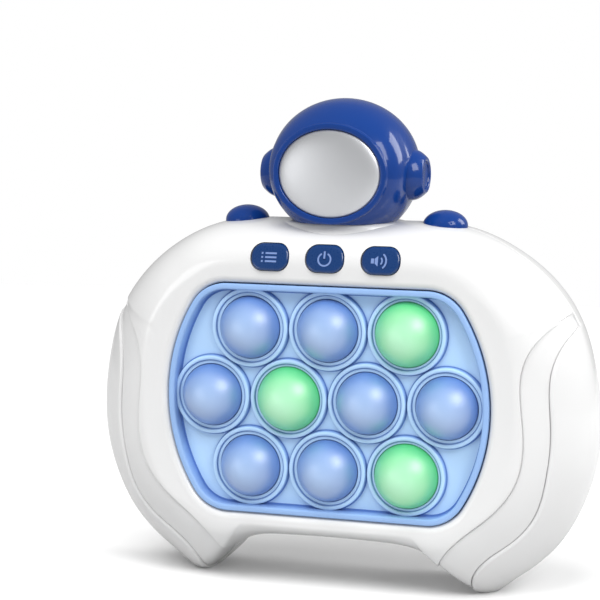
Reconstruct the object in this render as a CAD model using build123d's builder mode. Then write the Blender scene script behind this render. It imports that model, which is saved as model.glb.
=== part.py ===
from build123d import *
import math
import os

# Electronic bubble pop game: an upright handheld case with ten lit bubbles under a helmet figure.
# Millimetres. X runs to the player's right, Y runs from the player to the back, Z is up.
# The origin is on the ground under the middle of the case.
# A "forward" value is a distance in front of the plane Y = 0, towards the player.

# Case
case_half_width = 80.3
case_top = 113.5
case_front = 19.4
case_back = 24.0
parting_forward = -2.0
case_wall = 2.2
front_roundness = 1.65
brow_roundness = 2.4
brow_start_turn = 25.0
brow_end_turn = 55.0
back_roundness = 2.3
crown_half_width = 58.0
crown_half_height = 39.0
back_panel_half_width = 64.0
back_panel_half_height = 42.0
panel_squareness = 3.6
overrun = 30.0
pick_margin = 0.01

# Seams of the case
seam_gap = 0.25
band_step = 0.7

# Bubbles
bubble_pitch = 25.0
bubble_row_turn = 60.0
bubble_radius = 9.6
bubble_height = 8.0
bubble_wall = 1.2
bubble_skirt = 0.8
bubble_travel = 4.0
bubble_centre_z = 59.4
bubble_base_forward = 16.0
ring_radius = 12.2
ring_height = 0.8
moving_gap = 0.3

# Mat and its opening
opening_half_width = 51.2
opening_half_height = 35.75
opening_drop = 0.25
opening_side_radius = 57.0
opening_corner_radius = 13.0
opening_round = 2.4
skirt_wall = 2.4
mat_gap = 0.15
mat_web = 1.8
mat_border_width = 2.4
mat_border_drop = 0.7
mat_flange_width = 2.2
mat_flange = 1.6
mat_flange_forward = 12.0

# Plungers and guide plate
plunger_radius = 4.0
pip_radius = 4.6
pip_depth = 3.2
retainer_width = 1.2
retainer = 0.7
guide_plate_thickness = 1.6
guide_plate_forward = 10.0
guide_collar_height = 1.2
guide_collar_wall = 1.2
guide_ear_share = 0.1

# Circuit board, switches and lamps
board_thickness = 1.6
board_half_width = 55.0
board_half_height = 34.0
board_corner = 4.0
board_tab_half_width = 25.5
board_tab_margin = 0.9
switch_size = 6.0
switch_body = 3.5
switch_height = 4.3
switch_actuator_radius = 1.75
switch_play = 0.1
led_width = 2.8
led_length = 3.5
led_height = 1.9
led_corner = 0.35
led_offset = 7.4
chip_width = 14.0
chip_length = 9.0
chip_height = 1.4
chip_z = 86.0

# Function buttons
function_pitch = 17.5
function_z = 103.3
function_width = 12.1
function_height = 8.1
function_corner = 3.7
function_forward = 18.9
function_tilt = 18.0
function_edge = 0.6
function_travel = 1.2
function_flange = 1.0
function_flange_width = 0.8
function_flange_forward = 8.4
function_stem_radius = 2.4
function_wall = 1.3
function_roof = 3.6
slot_wall = 1.1

# Posts and screws
post_radius = 2.8
screw_radius = 1.15
screw_hole_radius = 1.3
screw_head_radius = 2.3
screw_head = 1.6
screw_seat = 4.0
screw_reach = 7.0
screw_hole_depth = 9.0
head_clearance = 0.3
boss_radius = 3.4
shoulder_screw_x = 34.0
shoulder_screw_z = 104.5
side_screw_x = 61.5
side_screw_z = 60.0
lobe_screw_x = 40.0
lobe_screw_z = 12.5
board_post_x = 50.8
board_post_rise = 27.0
board_screw_reach = 4.0

# Helmet
helmet_half_width = 23.3
helmet_half_depth = 21.5
helmet_crown = 21.4
helmet_jaw = 22.65
helmet_z = 129.5
helmet_wall = 2.0
helmet_face = 13.2
neck_radius = 6.6
neck_wall = 1.6
neck_gap = 0.2
neck_flange_width = 1.2
neck_flange = 1.0
neck_bottom = 107.6
visor_half_width = 16.1
visor_half_height = 13.4
visor_z = 128.65
visor_thickness = 1.6
visor_bulge = 2.6
visor_gap = 0.1
bezel_width = 2.0
bezel_height = 1.9
bezel_round = 0.8
ear_base_radius = 8.0
ear_end_radius = 7.0
ear_reach = 26.0
ear_z = 127.8
ear_round = 2.0
ear_dish_radius = 4.4
ear_dish = 0.9

# Hands
hand_x = 32.0
hand_radius = 6.9
hand_top = 117.3
hand_base = 112.6
hand_peg_radius = 2.5
hand_peg_bottom = 108.6
peg_gap = 0.2

# Speaker
speaker_z = 85.4
speaker_radius = 14.0
speaker_depth = 4.6
magnet_radius = 7.5
magnet_depth = 3.4
cone_radius = 11.5
cone_centre_radius = 4.0
cone_depth = 2.4
cone_wall = 0.5
speaker_ring_wall = 1.4
speaker_ring_height = 4.0
speaker_gap = 0.2
grille_radius = 0.9
grille_pitch = 3.4
grille_rings = 3
grille_ring_holes = 6

# Batteries, bay and door
battery_radius = 5.25
battery_length = 43.3
battery_nub_radius = 1.9
battery_nub = 1.0
battery_count = 3
battery_play = 0.3
battery_z = 44.0
bay_wall = 1.5
contact_thickness = 0.4
contact_size = 8.0
spring_room = 3.0
spring_wire = 0.45
spring_radius = 3.4
spring_turns = 3
door_thickness = 2.0
door_gap = 0.35
door_margin = 2.0
door_corner = 3.0
door_screw_room = 9.0
door_screw_edge = 4.4
door_screw_reach = 7.0
door_boss_radius = 3.2
door_boss_depth = 10.0
door_seat_width = 1.6

# Leads
lead_radius = 0.6
lead_hole_gap = 0.3
lead_spread = 2.6
lead_clearance = 5.0
lead_shift = 7.2
battery_lead_reach = 9.0
arc_share = 0.45

# The widest outline of the case, right half from the top down to the arch between the lobes,
# as shares of the half width and of the top height.
outline_shares = (
    (0.0, 1.0), (0.25, 0.9995), (0.475, 0.989), (0.665, 0.932), (0.825, 0.839),
    (0.923, 0.735), (0.976, 0.613), (1.0, 0.474), (0.987, 0.352), (0.945, 0.254),
    (0.868, 0.152), (0.755, 0.070), (0.670, 0.024), (0.585, -0.0105), (0.505, 0.018),
    (0.435, 0.071), (0.345, 0.106), (0.185, 0.121), (0.0, 0.124),
)

# Where the front shell meets the side grips, and where its raised frame meets the lower band.
# Both start at the notch below the shoulder and end under the lobe.
grip_seam_shares = (
    (0.985, 0.785), (0.905, 0.715), (0.862, 0.640), (0.862, 0.470), (0.846, 0.345),
    (0.800, 0.237), (0.715, 0.165), (0.620, 0.112), (0.560, 0.055), (0.540, -0.050),
)
band_seam_shares = (
    (0.960, 0.790), (0.835, 0.735), (0.765, 0.660), (0.763, 0.470), (0.742, 0.345),
    (0.660, 0.258), (0.550, 0.190), (0.455, 0.118), (0.415, 0.055), (0.405, -0.050),
)
section_turn_shares = (0.0, 0.2, 0.4, 0.6, 0.8, 1.0)


def front_plane(forward):
    """A sketch plane that faces the player, at a forward value."""
    return Plane.XZ.offset(forward)


def turning_plane(x, z):
    """A sketch plane whose first axis is a radius and whose second axis runs forward."""
    return Plane(origin=(x, 0, z), x_dir=(1, 0, 0), z_dir=(0, 0, -1))


def turning_axis(x, z):
    """The line through a place on the front that points to the player."""
    return Axis((x, 0, z), (0, -1, 0))


def finish(builder, name):
    """Name a finished piece and write it to its file."""
    builder.part.label = name
    export_step(builder.part, f"parts/{name}.step")


def scaled_points(shares):
    """Turn shares of the case's half width and top height into places."""
    return [(case_half_width * across, case_top * up) for across, up in shares]


def widest_outline(inset):
    """The closed outline at the parting plane from the arch round, moved inwards by an inset."""
    right = scaled_points(outline_shares)
    left = [(-x, z) for x, z in reversed(right[1:])]
    loop = left + right[:-1]
    moved = []
    for index, (x, z) in enumerate(loop):
        before = loop[index - 1]
        after = loop[(index + 1) % len(loop)]
        run_x = after[0] - before[0]
        run_z = after[1] - before[1]
        length = math.hypot(run_x, run_z)
        moved.append((x + inset * run_z / length, z - inset * run_x / length))
    return moved


def panel_point(x, z, half_width, half_height):
    """Where the ray from the middle of the bubbles to a point crosses a rounded panel."""
    across = abs(x) / half_width
    up = abs(z - bubble_centre_z) / half_height
    reach = (across ** panel_squareness + up ** panel_squareness) ** (1 / panel_squareness)
    return x / reach, bubble_centre_z + (z - bubble_centre_z) / reach


def brow_share(x, z):
    """How far a place on the outline belongs to the squarer shoulder at the top, from 0 to 1."""
    turn = math.degrees(math.atan2(z - bubble_centre_z, abs(x)))
    share = min(1, max(0, (turn - brow_start_turn) / (brow_end_turn - brow_start_turn)))
    return share * share * (3 - 2 * share)


def pillow(inset):
    """The rounded body of the case, with every face moved inwards by an inset."""
    widest = widest_outline(inset)
    sections = []
    for turn in reversed(section_turn_shares[1:]):
        sections.append((turn, inset - case_back - parting_forward, back_roundness, back_roundness,
                         back_panel_half_width, back_panel_half_height))
    for turn in section_turn_shares:
        sections.append((turn, case_front - parting_forward - inset, front_roundness, brow_roundness,
                         crown_half_width, crown_half_height))
    with BuildPart() as body:
        for turn, depth, roundness, top_roundness, half_width, half_height in sections:
            rise = (1 - math.cos(turn * math.pi / 2) ** roundness) ** (1 / roundness)
            ring = []
            for x, z in widest:
                local = roundness + brow_share(x, z) * (top_roundness - roundness)
                inwards = 1 - (1 - rise ** local) ** (1 / local)
                panel_x, panel_z = panel_point(x, z, half_width, half_height)
                ring.append((x + inwards * (panel_x - x), z + inwards * (panel_z - z)))
            with BuildSketch(front_plane(parting_forward + depth * rise)):
                with BuildLine():
                    Spline(*ring, periodic=True)
                make_face()
        loft()
    return body.part


def seam_region(shares, grow):
    """The face between the left and right seam curves, reaching past the case's top and foot."""
    seam = [(x + grow, z) for x, z in scaled_points(shares)]
    mirrored = [(-x, z) for x, z in reversed(seam)]
    high = case_top + overrun
    low = -overrun
    with BuildSketch() as region:
        with BuildLine():
            Spline(*seam)
            Polyline(seam[-1], (seam[-1][0], low), (mirrored[0][0], low), mirrored[0])
            Spline(*mirrored)
            Polyline(mirrored[-1], (mirrored[-1][0], high), (seam[0][0], high), seam[0])
        make_face()
    return region.sketch


def opening_face(grow):
    """Outline of the mat opening: straight top and bottom, bulging sides, round corners."""
    half_width = opening_half_width + grow
    half_height = opening_half_height + grow
    side_radius = opening_side_radius + grow
    corner_x = half_width - side_radius + math.sqrt(side_radius ** 2 - half_height ** 2)
    with BuildSketch() as face:
        with BuildLine():
            Line((-corner_x, half_height), (corner_x, half_height))
            ThreePointArc((corner_x, half_height), (half_width, 0), (corner_x, -half_height))
            Line((corner_x, -half_height), (-corner_x, -half_height))
            ThreePointArc((-corner_x, -half_height), (-half_width, 0), (-corner_x, half_height))
        make_face()
        fillet(face.vertices(), opening_corner_radius + grow)
    return face.sketch


# Places worked out from the sizes
opening_z = bubble_centre_z - opening_drop
row_height = bubble_pitch * math.sin(math.radians(bubble_row_turn))
bubble_spots = []
for row, count in ((1, 3), (0, 4), (-1, 3)):
    for column in range(count):
        bubble_x = (column - (count - 1) / 2) * bubble_pitch
        bubble_spots.append((bubble_x, bubble_centre_z + row * row_height))
function_spots = [(-function_pitch, function_z), (0, function_z), (function_pitch, function_z)]
both_sides = (-1, 1)
case_screw_spots = []
for screw_x, screw_z in ((shoulder_screw_x, shoulder_screw_z), (side_screw_x, side_screw_z),
                         (lobe_screw_x, lobe_screw_z)):
    case_screw_spots += [(side * screw_x, screw_z) for side in both_sides]
board_post_spots = [(side * board_post_x, bubble_centre_z + end * board_post_rise)
                    for side in both_sides for end in both_sides]
guide_ear_spots = [(x * (1 - guide_ear_share), z) for x, z in board_post_spots]
hand_spots = [(side * hand_x, 0) for side in both_sides]

bubble_crown_forward = bubble_base_forward + bubble_height
web_top_forward = bubble_base_forward - ring_height
mat_flange_top = mat_flange_forward + mat_flange
pip_forward = bubble_crown_forward - bubble_wall - pip_depth
guide_under_forward = guide_plate_forward - guide_plate_thickness
retainer_forward = guide_under_forward - moving_gap
plunger_tip_forward = retainer_forward - retainer
switch_top_forward = plunger_tip_forward - bubble_travel - switch_play
board_forward = switch_top_forward - switch_height
board_back_forward = board_forward - board_thickness
function_tip_forward = switch_top_forward + function_travel + switch_play
helmet_y = -parting_forward
back_wall_forward = case_wall - case_back
screw_seat_forward = parting_forward - screw_seat

os.makedirs("parts", exist_ok=True)

outer_form = pillow(0)
inner_form = pillow(case_wall)
half_wall_form = pillow(case_wall / 2)
band_form = pillow(band_step)

# Skin that is taken off the front shell to sink the lower bands below the frame
with BuildPart() as band_cut:
    add(outer_form)
    add(band_form, mode=Mode.SUBTRACT)
    with BuildSketch(front_plane(-case_back)):
        add(seam_region(band_seam_shares, 0))
    extrude(amount=case_back + case_front, mode=Mode.SUBTRACT)

# Front shell inner posts: screw bosses, board posts and the guides round the button slots
with BuildPart() as front_posts:
    with BuildSketch(front_plane(parting_forward)):
        with Locations(*case_screw_spots):
            Circle(boss_radius)
    extrude(amount=overrun)
    with BuildSketch(front_plane(guide_plate_forward)):
        with Locations(*board_post_spots):
            Circle(post_radius)
    extrude(amount=overrun)
    with BuildSketch(front_plane(function_flange_forward + moving_gap)):
        with Locations(*function_spots):
            RectangleRounded(function_width + 2 * (moving_gap + slot_wall),
                             function_height + 2 * (moving_gap + slot_wall),
                             function_corner + moving_gap + slot_wall)
    extrude(amount=overrun)
    add(half_wall_form, mode=Mode.INTERSECT)

with BuildPart() as front_shell:
    add(outer_form)
    add(inner_form, mode=Mode.SUBTRACT)
    with BuildSketch(front_plane(parting_forward)):
        add(seam_region(grip_seam_shares, -seam_gap / 2))
    extrude(amount=overrun, mode=Mode.INTERSECT)
    add(band_cut.part, mode=Mode.SUBTRACT)
    with BuildSketch(front_plane(mat_flange_top)):
        with Locations((0, opening_z)):
            add(opening_face(skirt_wall))
    extrude(amount=case_front - case_wall / 2 - mat_flange_top)
    add(front_posts.part)
    with BuildSketch(front_plane(mat_flange_top)):
        with Locations((0, opening_z)):
            add(opening_face(0))
    extrude(amount=overrun, mode=Mode.SUBTRACT)
    rim_edges = front_shell.edges().filter_by_position(Axis.Y, -case_front - pick_margin,
                                                       pick_margin - case_front)
    fillet(rim_edges.filter_by(GeomType.BSPLINE, reverse=True), opening_round)
    with BuildSketch(front_plane(parting_forward)):
        with Locations(*function_spots):
            RectangleRounded(function_width + 2 * moving_gap, function_height + 2 * moving_gap,
                             function_corner + moving_gap)
    extrude(amount=overrun, mode=Mode.SUBTRACT)
    with BuildSketch(front_plane(parting_forward)):
        with Locations(*case_screw_spots):
            Circle(screw_hole_radius)
    extrude(amount=screw_hole_depth, mode=Mode.SUBTRACT)
    with BuildSketch(front_plane(guide_plate_forward)):
        with Locations(*board_post_spots):
            Circle(screw_hole_radius)
    extrude(amount=board_screw_reach + screw_radius, mode=Mode.SUBTRACT)
    with BuildSketch(Plane.XY.offset(neck_bottom)):
        with Locations((0, helmet_y)):
            Circle(neck_radius + neck_gap)
        with Locations(*[(x, helmet_y) for x, _ in hand_spots]):
            Circle(hand_peg_radius + peg_gap)
    extrude(amount=overrun, mode=Mode.SUBTRACT)
    split(bisect_by=Plane.XY, keep=Keep.TOP)
finish(front_shell, "front_shell")

# Rear shell inner posts: screw bosses
with BuildPart() as rear_posts:
    with BuildSketch(front_plane(parting_forward)):
        with Locations(*case_screw_spots):
            Circle(boss_radius)
    extrude(amount=-overrun)
    add(half_wall_form, mode=Mode.INTERSECT)

battery_pitch = 2 * battery_radius + battery_play
bay_half_height = battery_count * battery_pitch / 2
bay_half_width = (battery_length + battery_nub + spring_room) / 2 + contact_thickness
door_half_width = bay_half_width + door_margin
door_bottom = battery_z - bay_half_height - door_margin
door_top = battery_z + bay_half_height + door_screw_room
door_height = door_top - door_bottom
door_z = (door_top + door_bottom) / 2
door_screw_z = door_top - door_screw_edge
door_seat_forward = door_thickness - case_back
bay_floor_forward = door_seat_forward + 2 * battery_radius + 2 * battery_play
battery_forward = bay_floor_forward - battery_play - battery_radius
battery_rows = [battery_z + (index - (battery_count - 1) / 2) * battery_pitch
                for index in range(battery_count)]
lead_z = battery_rows[-1]

with BuildPart() as rear_shell:
    add(outer_form)
    add(inner_form, mode=Mode.SUBTRACT)
    with BuildSketch(front_plane(parting_forward)):
        add(seam_region(grip_seam_shares, seam_gap / 2))
    extrude(amount=overrun, mode=Mode.SUBTRACT)
    add(rear_posts.part)
    # Battery bay: a seat for the door, walls round the cells and a floor in front of them
    with BuildSketch(front_plane(door_seat_forward)):
        with Locations((0, door_z)):
            RectangleRounded(2 * (door_half_width + door_seat_width),
                             door_height + 2 * door_seat_width, door_corner + door_seat_width)
    extrude(amount=door_seat_width)
    with BuildSketch(front_plane(door_seat_forward)):
        with Locations((0, battery_z)):
            Rectangle(2 * (bay_half_width + bay_wall), 2 * (bay_half_height + bay_wall))
    extrude(amount=bay_floor_forward + bay_wall - door_seat_forward)
    with BuildSketch(front_plane(door_seat_forward)):
        with Locations((0, door_screw_z)):
            Circle(door_boss_radius)
    extrude(amount=door_boss_depth)
    with BuildSketch(front_plane(-case_back)):
        with Locations((0, battery_z)):
            Rectangle(2 * bay_half_width, 2 * bay_half_height)
    extrude(amount=bay_floor_forward + case_back, mode=Mode.SUBTRACT)
    with BuildSketch(front_plane(door_seat_forward)):
        with Locations((0, door_z)):
            RectangleRounded(2 * (door_half_width + door_gap), door_height + 2 * door_gap,
                             door_corner + door_gap)
    extrude(amount=-overrun, mode=Mode.SUBTRACT)
    with BuildSketch(front_plane(door_seat_forward)):
        with Locations((0, door_screw_z)):
            Circle(screw_hole_radius)
    extrude(amount=door_screw_reach + screw_radius, mode=Mode.SUBTRACT)
    for side in both_sides:
        with BuildSketch(Plane.YZ.offset(side * bay_half_width)):
            with Locations((-battery_forward, lead_z)):
                Circle(lead_radius + lead_hole_gap)
        extrude(amount=side * (bay_wall + lead_radius), mode=Mode.SUBTRACT)
    # Speaker ring and grille
    with BuildSketch(front_plane(back_wall_forward)):
        with Locations((0, speaker_z)):
            Circle(speaker_radius + speaker_gap + speaker_ring_wall)
            Circle(speaker_radius + speaker_gap, mode=Mode.SUBTRACT)
    extrude(amount=speaker_ring_height)
    with BuildSketch(front_plane(back_wall_forward)):
        with Locations((0, speaker_z)):
            Circle(grille_radius)
        for grille_ring in range(1, grille_rings + 1):
            with Locations((0, speaker_z)):
                with PolarLocations(grille_ring * grille_pitch, grille_ring_holes * grille_ring):
                    Circle(grille_radius)
    extrude(amount=-overrun, mode=Mode.SUBTRACT)
    # Screw holes with deep wells for their heads
    with BuildSketch(front_plane(parting_forward)):
        with Locations(*case_screw_spots):
            Circle(screw_hole_radius)
    extrude(amount=-overrun, mode=Mode.SUBTRACT)
    with BuildSketch(front_plane(screw_seat_forward)):
        with Locations(*case_screw_spots):
            Circle(screw_head_radius + head_clearance)
    extrude(amount=-overrun, mode=Mode.SUBTRACT)
    with BuildSketch(Plane.XY.offset(neck_bottom)):
        with Locations((0, helmet_y)):
            Circle(neck_radius + neck_gap)
        with Locations(*[(x, helmet_y) for x, _ in hand_spots]):
            Circle(hand_peg_radius + peg_gap)
    extrude(amount=overrun, mode=Mode.SUBTRACT)
    split(bisect_by=Plane.XY, keep=Keep.TOP)
finish(rear_shell, "rear_shell")


# Silicone mat: a web with ten ringed holes inside a raised border, and a flange that is clamped
with BuildPart() as bubble_mat:
    with BuildSketch(front_plane(mat_flange_forward)):
        with Locations((0, opening_z)):
            add(opening_face(-mat_gap))
    extrude(amount=case_front - mat_border_drop - mat_flange_forward)
    with BuildSketch(front_plane(mat_flange_forward)):
        with Locations((0, opening_z)):
            add(opening_face(mat_flange_width))
    extrude(amount=mat_flange)
    with BuildSketch(front_plane(web_top_forward)):
        with Locations((0, opening_z)):
            add(opening_face(-mat_gap - mat_border_width))
    extrude(amount=overrun, mode=Mode.SUBTRACT)
    with BuildSketch(front_plane(web_top_forward - mat_web)):
        with Locations((0, opening_z)):
            add(opening_face(-mat_gap - mat_border_width))
    extrude(amount=-overrun, mode=Mode.SUBTRACT)
    with BuildSketch(front_plane(web_top_forward)):
        with Locations(*bubble_spots):
            Circle(ring_radius)
    extrude(amount=ring_height)
    with BuildSketch(front_plane(bubble_base_forward)):
        with Locations(*bubble_spots):
            Circle(bubble_radius + moving_gap)
    extrude(amount=-overrun, mode=Mode.SUBTRACT)
finish(bubble_mat, "bubble_mat")


def half_dome(radius, height):
    """Half of a round dome's section, from the skirt's end up to the crown."""
    skirt_end = bubble_base_forward - bubble_skirt
    crown = bubble_base_forward + height
    round_radius = (radius ** 2 + height ** 2) / (2 * height)
    half_turn = math.atan2(radius, round_radius - height) / 2
    middle = (round_radius * math.sin(half_turn), crown - round_radius * (1 - math.cos(half_turn)))
    with BuildSketch() as section:
        with BuildLine():
            ThreePointArc((radius, bubble_base_forward), middle, (0, crown))
            Polyline((0, crown), (0, skirt_end), (radius, skirt_end), (radius, bubble_base_forward))
        make_face()
    return section.sketch


with BuildSketch() as dome_hollow_section:
    add(half_dome(bubble_radius - bubble_wall, bubble_height - bubble_wall))
    with Locations((pip_radius / 2, (pip_forward + bubble_crown_forward) / 2)):
        Rectangle(pip_radius, bubble_crown_forward - pip_forward, mode=Mode.SUBTRACT)
dome_hollow = dome_hollow_section.sketch


def make_bubble(x, z, name):
    """A domed silicone bubble with a solid pip inside its crown."""
    with BuildPart() as bubble:
        with BuildSketch(turning_plane(x, z)):
            add(half_dome(bubble_radius, bubble_height))
            add(dome_hollow, mode=Mode.SUBTRACT)
        revolve(axis=turning_axis(x, z))
    finish(bubble, name)


def make_plunger(x, z, name):
    """A clear plunger that carries a bubble's push to its switch and its lamp's light outwards."""
    with BuildPart() as plunger:
        with BuildSketch(front_plane(plunger_tip_forward)):
            with Locations((x, z)):
                Circle(plunger_radius)
        extrude(amount=pip_forward - plunger_tip_forward)
        with BuildSketch(front_plane(plunger_tip_forward)):
            with Locations((x, z)):
                Circle(plunger_radius + retainer_width)
        extrude(amount=retainer)
    finish(plunger, name)


for number, (bubble_x, bubble_z) in enumerate(bubble_spots, start=1):
    make_bubble(bubble_x, bubble_z, f"bubble_{number:02d}")
    make_plunger(bubble_x, bubble_z, f"plunger_{number:02d}")


with BuildPart() as guide_plate:
    with BuildSketch(front_plane(guide_under_forward)):
        with Locations((0, opening_z)):
            add(opening_face(mat_flange_width))
        with Locations(*board_post_spots):
            Circle(post_radius)
        with Locations(*guide_ear_spots):
            Rectangle(2 * board_post_x * guide_ear_share, 2 * post_radius)
    extrude(amount=guide_plate_thickness)
    with BuildSketch(front_plane(guide_plate_forward)):
        with Locations((0, opening_z)):
            add(opening_face(mat_flange_width))
            add(opening_face(-mat_border_width), mode=Mode.SUBTRACT)
    extrude(amount=mat_flange_forward - guide_plate_forward)
    with BuildSketch(front_plane(guide_plate_forward)):
        with Locations(*bubble_spots):
            Circle(plunger_radius + moving_gap + guide_collar_wall)
    extrude(amount=guide_collar_height)
    with BuildSketch(front_plane(board_forward)):
        with Locations(*board_post_spots):
            Circle(post_radius)
    extrude(amount=guide_under_forward - board_forward)
    with BuildSketch(front_plane(board_forward)):
        with Locations(*bubble_spots):
            Circle(plunger_radius + moving_gap)
        with Locations(*board_post_spots):
            Circle(screw_hole_radius)
    extrude(amount=overrun, mode=Mode.SUBTRACT)
finish(guide_plate, "guide_plate")


board_top = function_z + switch_size / 2 + board_tab_margin
with BuildPart() as circuit_board:
    with BuildSketch(front_plane(board_back_forward)):
        with Locations((0, bubble_centre_z)):
            RectangleRounded(2 * board_half_width, 2 * board_half_height, board_corner)
        with Locations((0, (board_top + bubble_centre_z) / 2)):
            Rectangle(2 * board_tab_half_width, board_top - bubble_centre_z)
        with Locations(*board_post_spots):
            Circle(screw_hole_radius, mode=Mode.SUBTRACT)
    extrude(amount=board_thickness)
finish(circuit_board, "circuit_board")


def make_switches(spots, name):
    """Small square push switches on the board, one under each place."""
    with BuildPart() as switches:
        with BuildSketch(front_plane(board_forward)):
            with Locations(*spots):
                Rectangle(switch_size, switch_size)
        extrude(amount=switch_body)
        with BuildSketch(front_plane(board_forward)):
            with Locations(*spots):
                Circle(switch_actuator_radius)
        extrude(amount=switch_height)
    finish(switches, name)


make_switches(bubble_spots, "bubble_switches")
make_switches(function_spots, "function_switches")

with BuildPart() as lamps:
    with BuildSketch(front_plane(board_forward)):
        with Locations(*[(x + led_offset, z) for x, z in bubble_spots]):
            Rectangle(led_width, led_length)
    extrude(amount=led_height)
    fillet(lamps.edges().filter_by(Axis.Y), led_corner)
finish(lamps, "lamps")

with BuildPart() as sound_chip:
    with BuildSketch(front_plane(board_back_forward - chip_height)):
        with Locations((board_half_width / 2, chip_z)):
            Rectangle(chip_width, chip_length)
    extrude(amount=chip_height)
finish(sound_chip, "sound_chip")


def make_function_button(x, name):
    """A push button with a sloping face, a flange behind the case wall and a switch stem."""
    z = function_z
    under_roof = function_forward - function_roof
    face_plane = Plane(origin=(x, -function_forward, z), x_dir=(1, 0, 0),
                       z_dir=(0, -math.cos(math.radians(function_tilt)),
                              math.sin(math.radians(function_tilt))))
    with BuildPart() as button:
        with BuildSketch(front_plane(function_flange_forward - function_flange)):
            with Locations((x, z)):
                RectangleRounded(function_width, function_height, function_corner)
        extrude(amount=overrun)
        split(bisect_by=face_plane, keep=Keep.BOTTOM)
        outwards = Axis(face_plane.origin, face_plane.z_dir)
        fillet(button.faces().sort_by(outwards)[-1].edges(), function_edge)
        with BuildSketch(front_plane(function_flange_forward - function_flange)):
            with Locations((x, z)):
                RectangleRounded(function_width + 2 * function_flange_width,
                                 function_height + 2 * function_flange_width,
                                 function_corner + function_flange_width)
        extrude(amount=function_flange)
        with BuildSketch(front_plane(function_flange_forward - function_flange)):
            with Locations((x, z)):
                RectangleRounded(function_width - 2 * function_wall,
                                 function_height - 2 * function_wall,
                                 function_corner - function_wall)
        extrude(amount=under_roof - function_flange_forward + function_flange,
                mode=Mode.SUBTRACT)
        with BuildSketch(front_plane(function_tip_forward)):
            with Locations((x, z)):
                Circle(function_stem_radius)
        extrude(amount=under_roof - function_tip_forward)
    finish(button, name)


for (button_x, _), button_name in zip(function_spots, ("menu", "power", "volume")):
    make_function_button(button_x, f"{button_name}_button")


with BuildPart() as case_screws:
    with BuildSketch(front_plane(screw_seat_forward)):
        with Locations(*case_screw_spots):
            Circle(screw_radius)
    extrude(amount=screw_seat + screw_reach)
    with BuildSketch(front_plane(screw_seat_forward)):
        with Locations(*case_screw_spots):
            Circle(screw_head_radius)
    extrude(amount=-screw_head)
finish(case_screws, "case_screws")

with BuildPart() as board_screws:
    with BuildSketch(front_plane(board_back_forward)):
        with Locations(*board_post_spots):
            Circle(screw_radius)
    extrude(amount=guide_plate_forward + board_screw_reach - board_back_forward)
    with BuildSketch(front_plane(board_back_forward)):
        with Locations(*board_post_spots):
            Circle(screw_head_radius)
    extrude(amount=-screw_head)
finish(board_screws, "board_screws")


def helmet_form(inset):
    """The helmet's rounded body: a high crown over a lower jaw, with every face moved inwards."""
    half_width = helmet_half_width - inset
    crown = helmet_crown - inset
    jaw = helmet_jaw - inset
    with BuildPart() as body:
        with BuildSketch(Plane.XZ):
            with BuildLine():
                EllipticalCenterArc((0, helmet_z), half_width, crown)
                EllipticalCenterArc((0, helmet_z), half_width, jaw, arc_size=-90)
                Line((0, helmet_z - jaw), (0, helmet_z + crown))
            make_face()
        revolve(axis=Axis.Z)
        scale(by=(1, (helmet_half_depth - inset) / half_width, 1))
    return Pos(0, helmet_y, 0) * body.part


helmet_outer = helmet_form(0)
helmet_inner = helmet_form(helmet_wall)
helmet_floor_form = pillow(-helmet_wall)

with BuildPart() as helmet:
    add(helmet_outer)
    with BuildSketch(front_plane(helmet_face)):
        Rectangle(2 * overrun, 2 * case_top + 2 * overrun)
    extrude(amount=overrun, mode=Mode.SUBTRACT)
    with BuildSketch(front_plane(helmet_face)):
        with Locations((0, visor_z)):
            Ellipse(visor_half_width + bezel_width, visor_half_height + bezel_width)
    extrude(amount=-helmet_wall - visor_thickness)
    with BuildSketch(front_plane(helmet_face)):
        with Locations((0, visor_z)):
            Ellipse(visor_half_width + bezel_width, visor_half_height + bezel_width)
    extrude(amount=bezel_height)
    bezel_edges = helmet.edges().filter_by_position(Axis.Y, -helmet_face - bezel_height - pick_margin,
                                                    pick_margin - helmet_face - bezel_height)
    fillet(bezel_edges, bezel_round)
with BuildPart() as helmet_hollow:
    add(helmet_inner)
    with BuildSketch(front_plane(helmet_face - helmet_wall)):
        Rectangle(2 * overrun, 2 * case_top + 2 * overrun)
    extrude(amount=overrun, mode=Mode.SUBTRACT)
    add(helmet_floor_form, mode=Mode.SUBTRACT)

with BuildPart() as helmet_whole:
    add(helmet.part)
    add(helmet_hollow.part, mode=Mode.SUBTRACT)
    add(outer_form, mode=Mode.SUBTRACT)
    with BuildSketch(front_plane(helmet_face - helmet_wall - visor_thickness)):
        with Locations((0, visor_z)):
            Ellipse(visor_half_width, visor_half_height)
    extrude(amount=overrun, mode=Mode.SUBTRACT)
    with BuildSketch(Plane.XY.offset(neck_bottom)):
        with Locations((0, helmet_y)):
            Circle(neck_radius)
    extrude(amount=case_top + helmet_wall / 2 - neck_bottom)
    with BuildSketch(Plane.XY.offset(neck_bottom)):
        with Locations((0, helmet_y)):
            Circle(neck_radius + neck_flange_width)
    extrude(amount=neck_flange)
    with BuildSketch(Plane.XY.offset(neck_bottom)):
        with Locations((0, helmet_y)):
            Circle(neck_radius - neck_wall)
    extrude(amount=overrun / 2, mode=Mode.SUBTRACT)

helmet_split = Plane.XZ.offset(parting_forward)
with BuildPart() as helmet_front:
    add(helmet_whole.part)
    split(bisect_by=helmet_split, keep=Keep.TOP)
finish(helmet_front, "helmet_front")
with BuildPart() as helmet_rear:
    add(helmet_whole.part)
    split(bisect_by=helmet_split, keep=Keep.BOTTOM)
finish(helmet_rear, "helmet_rear")


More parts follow.
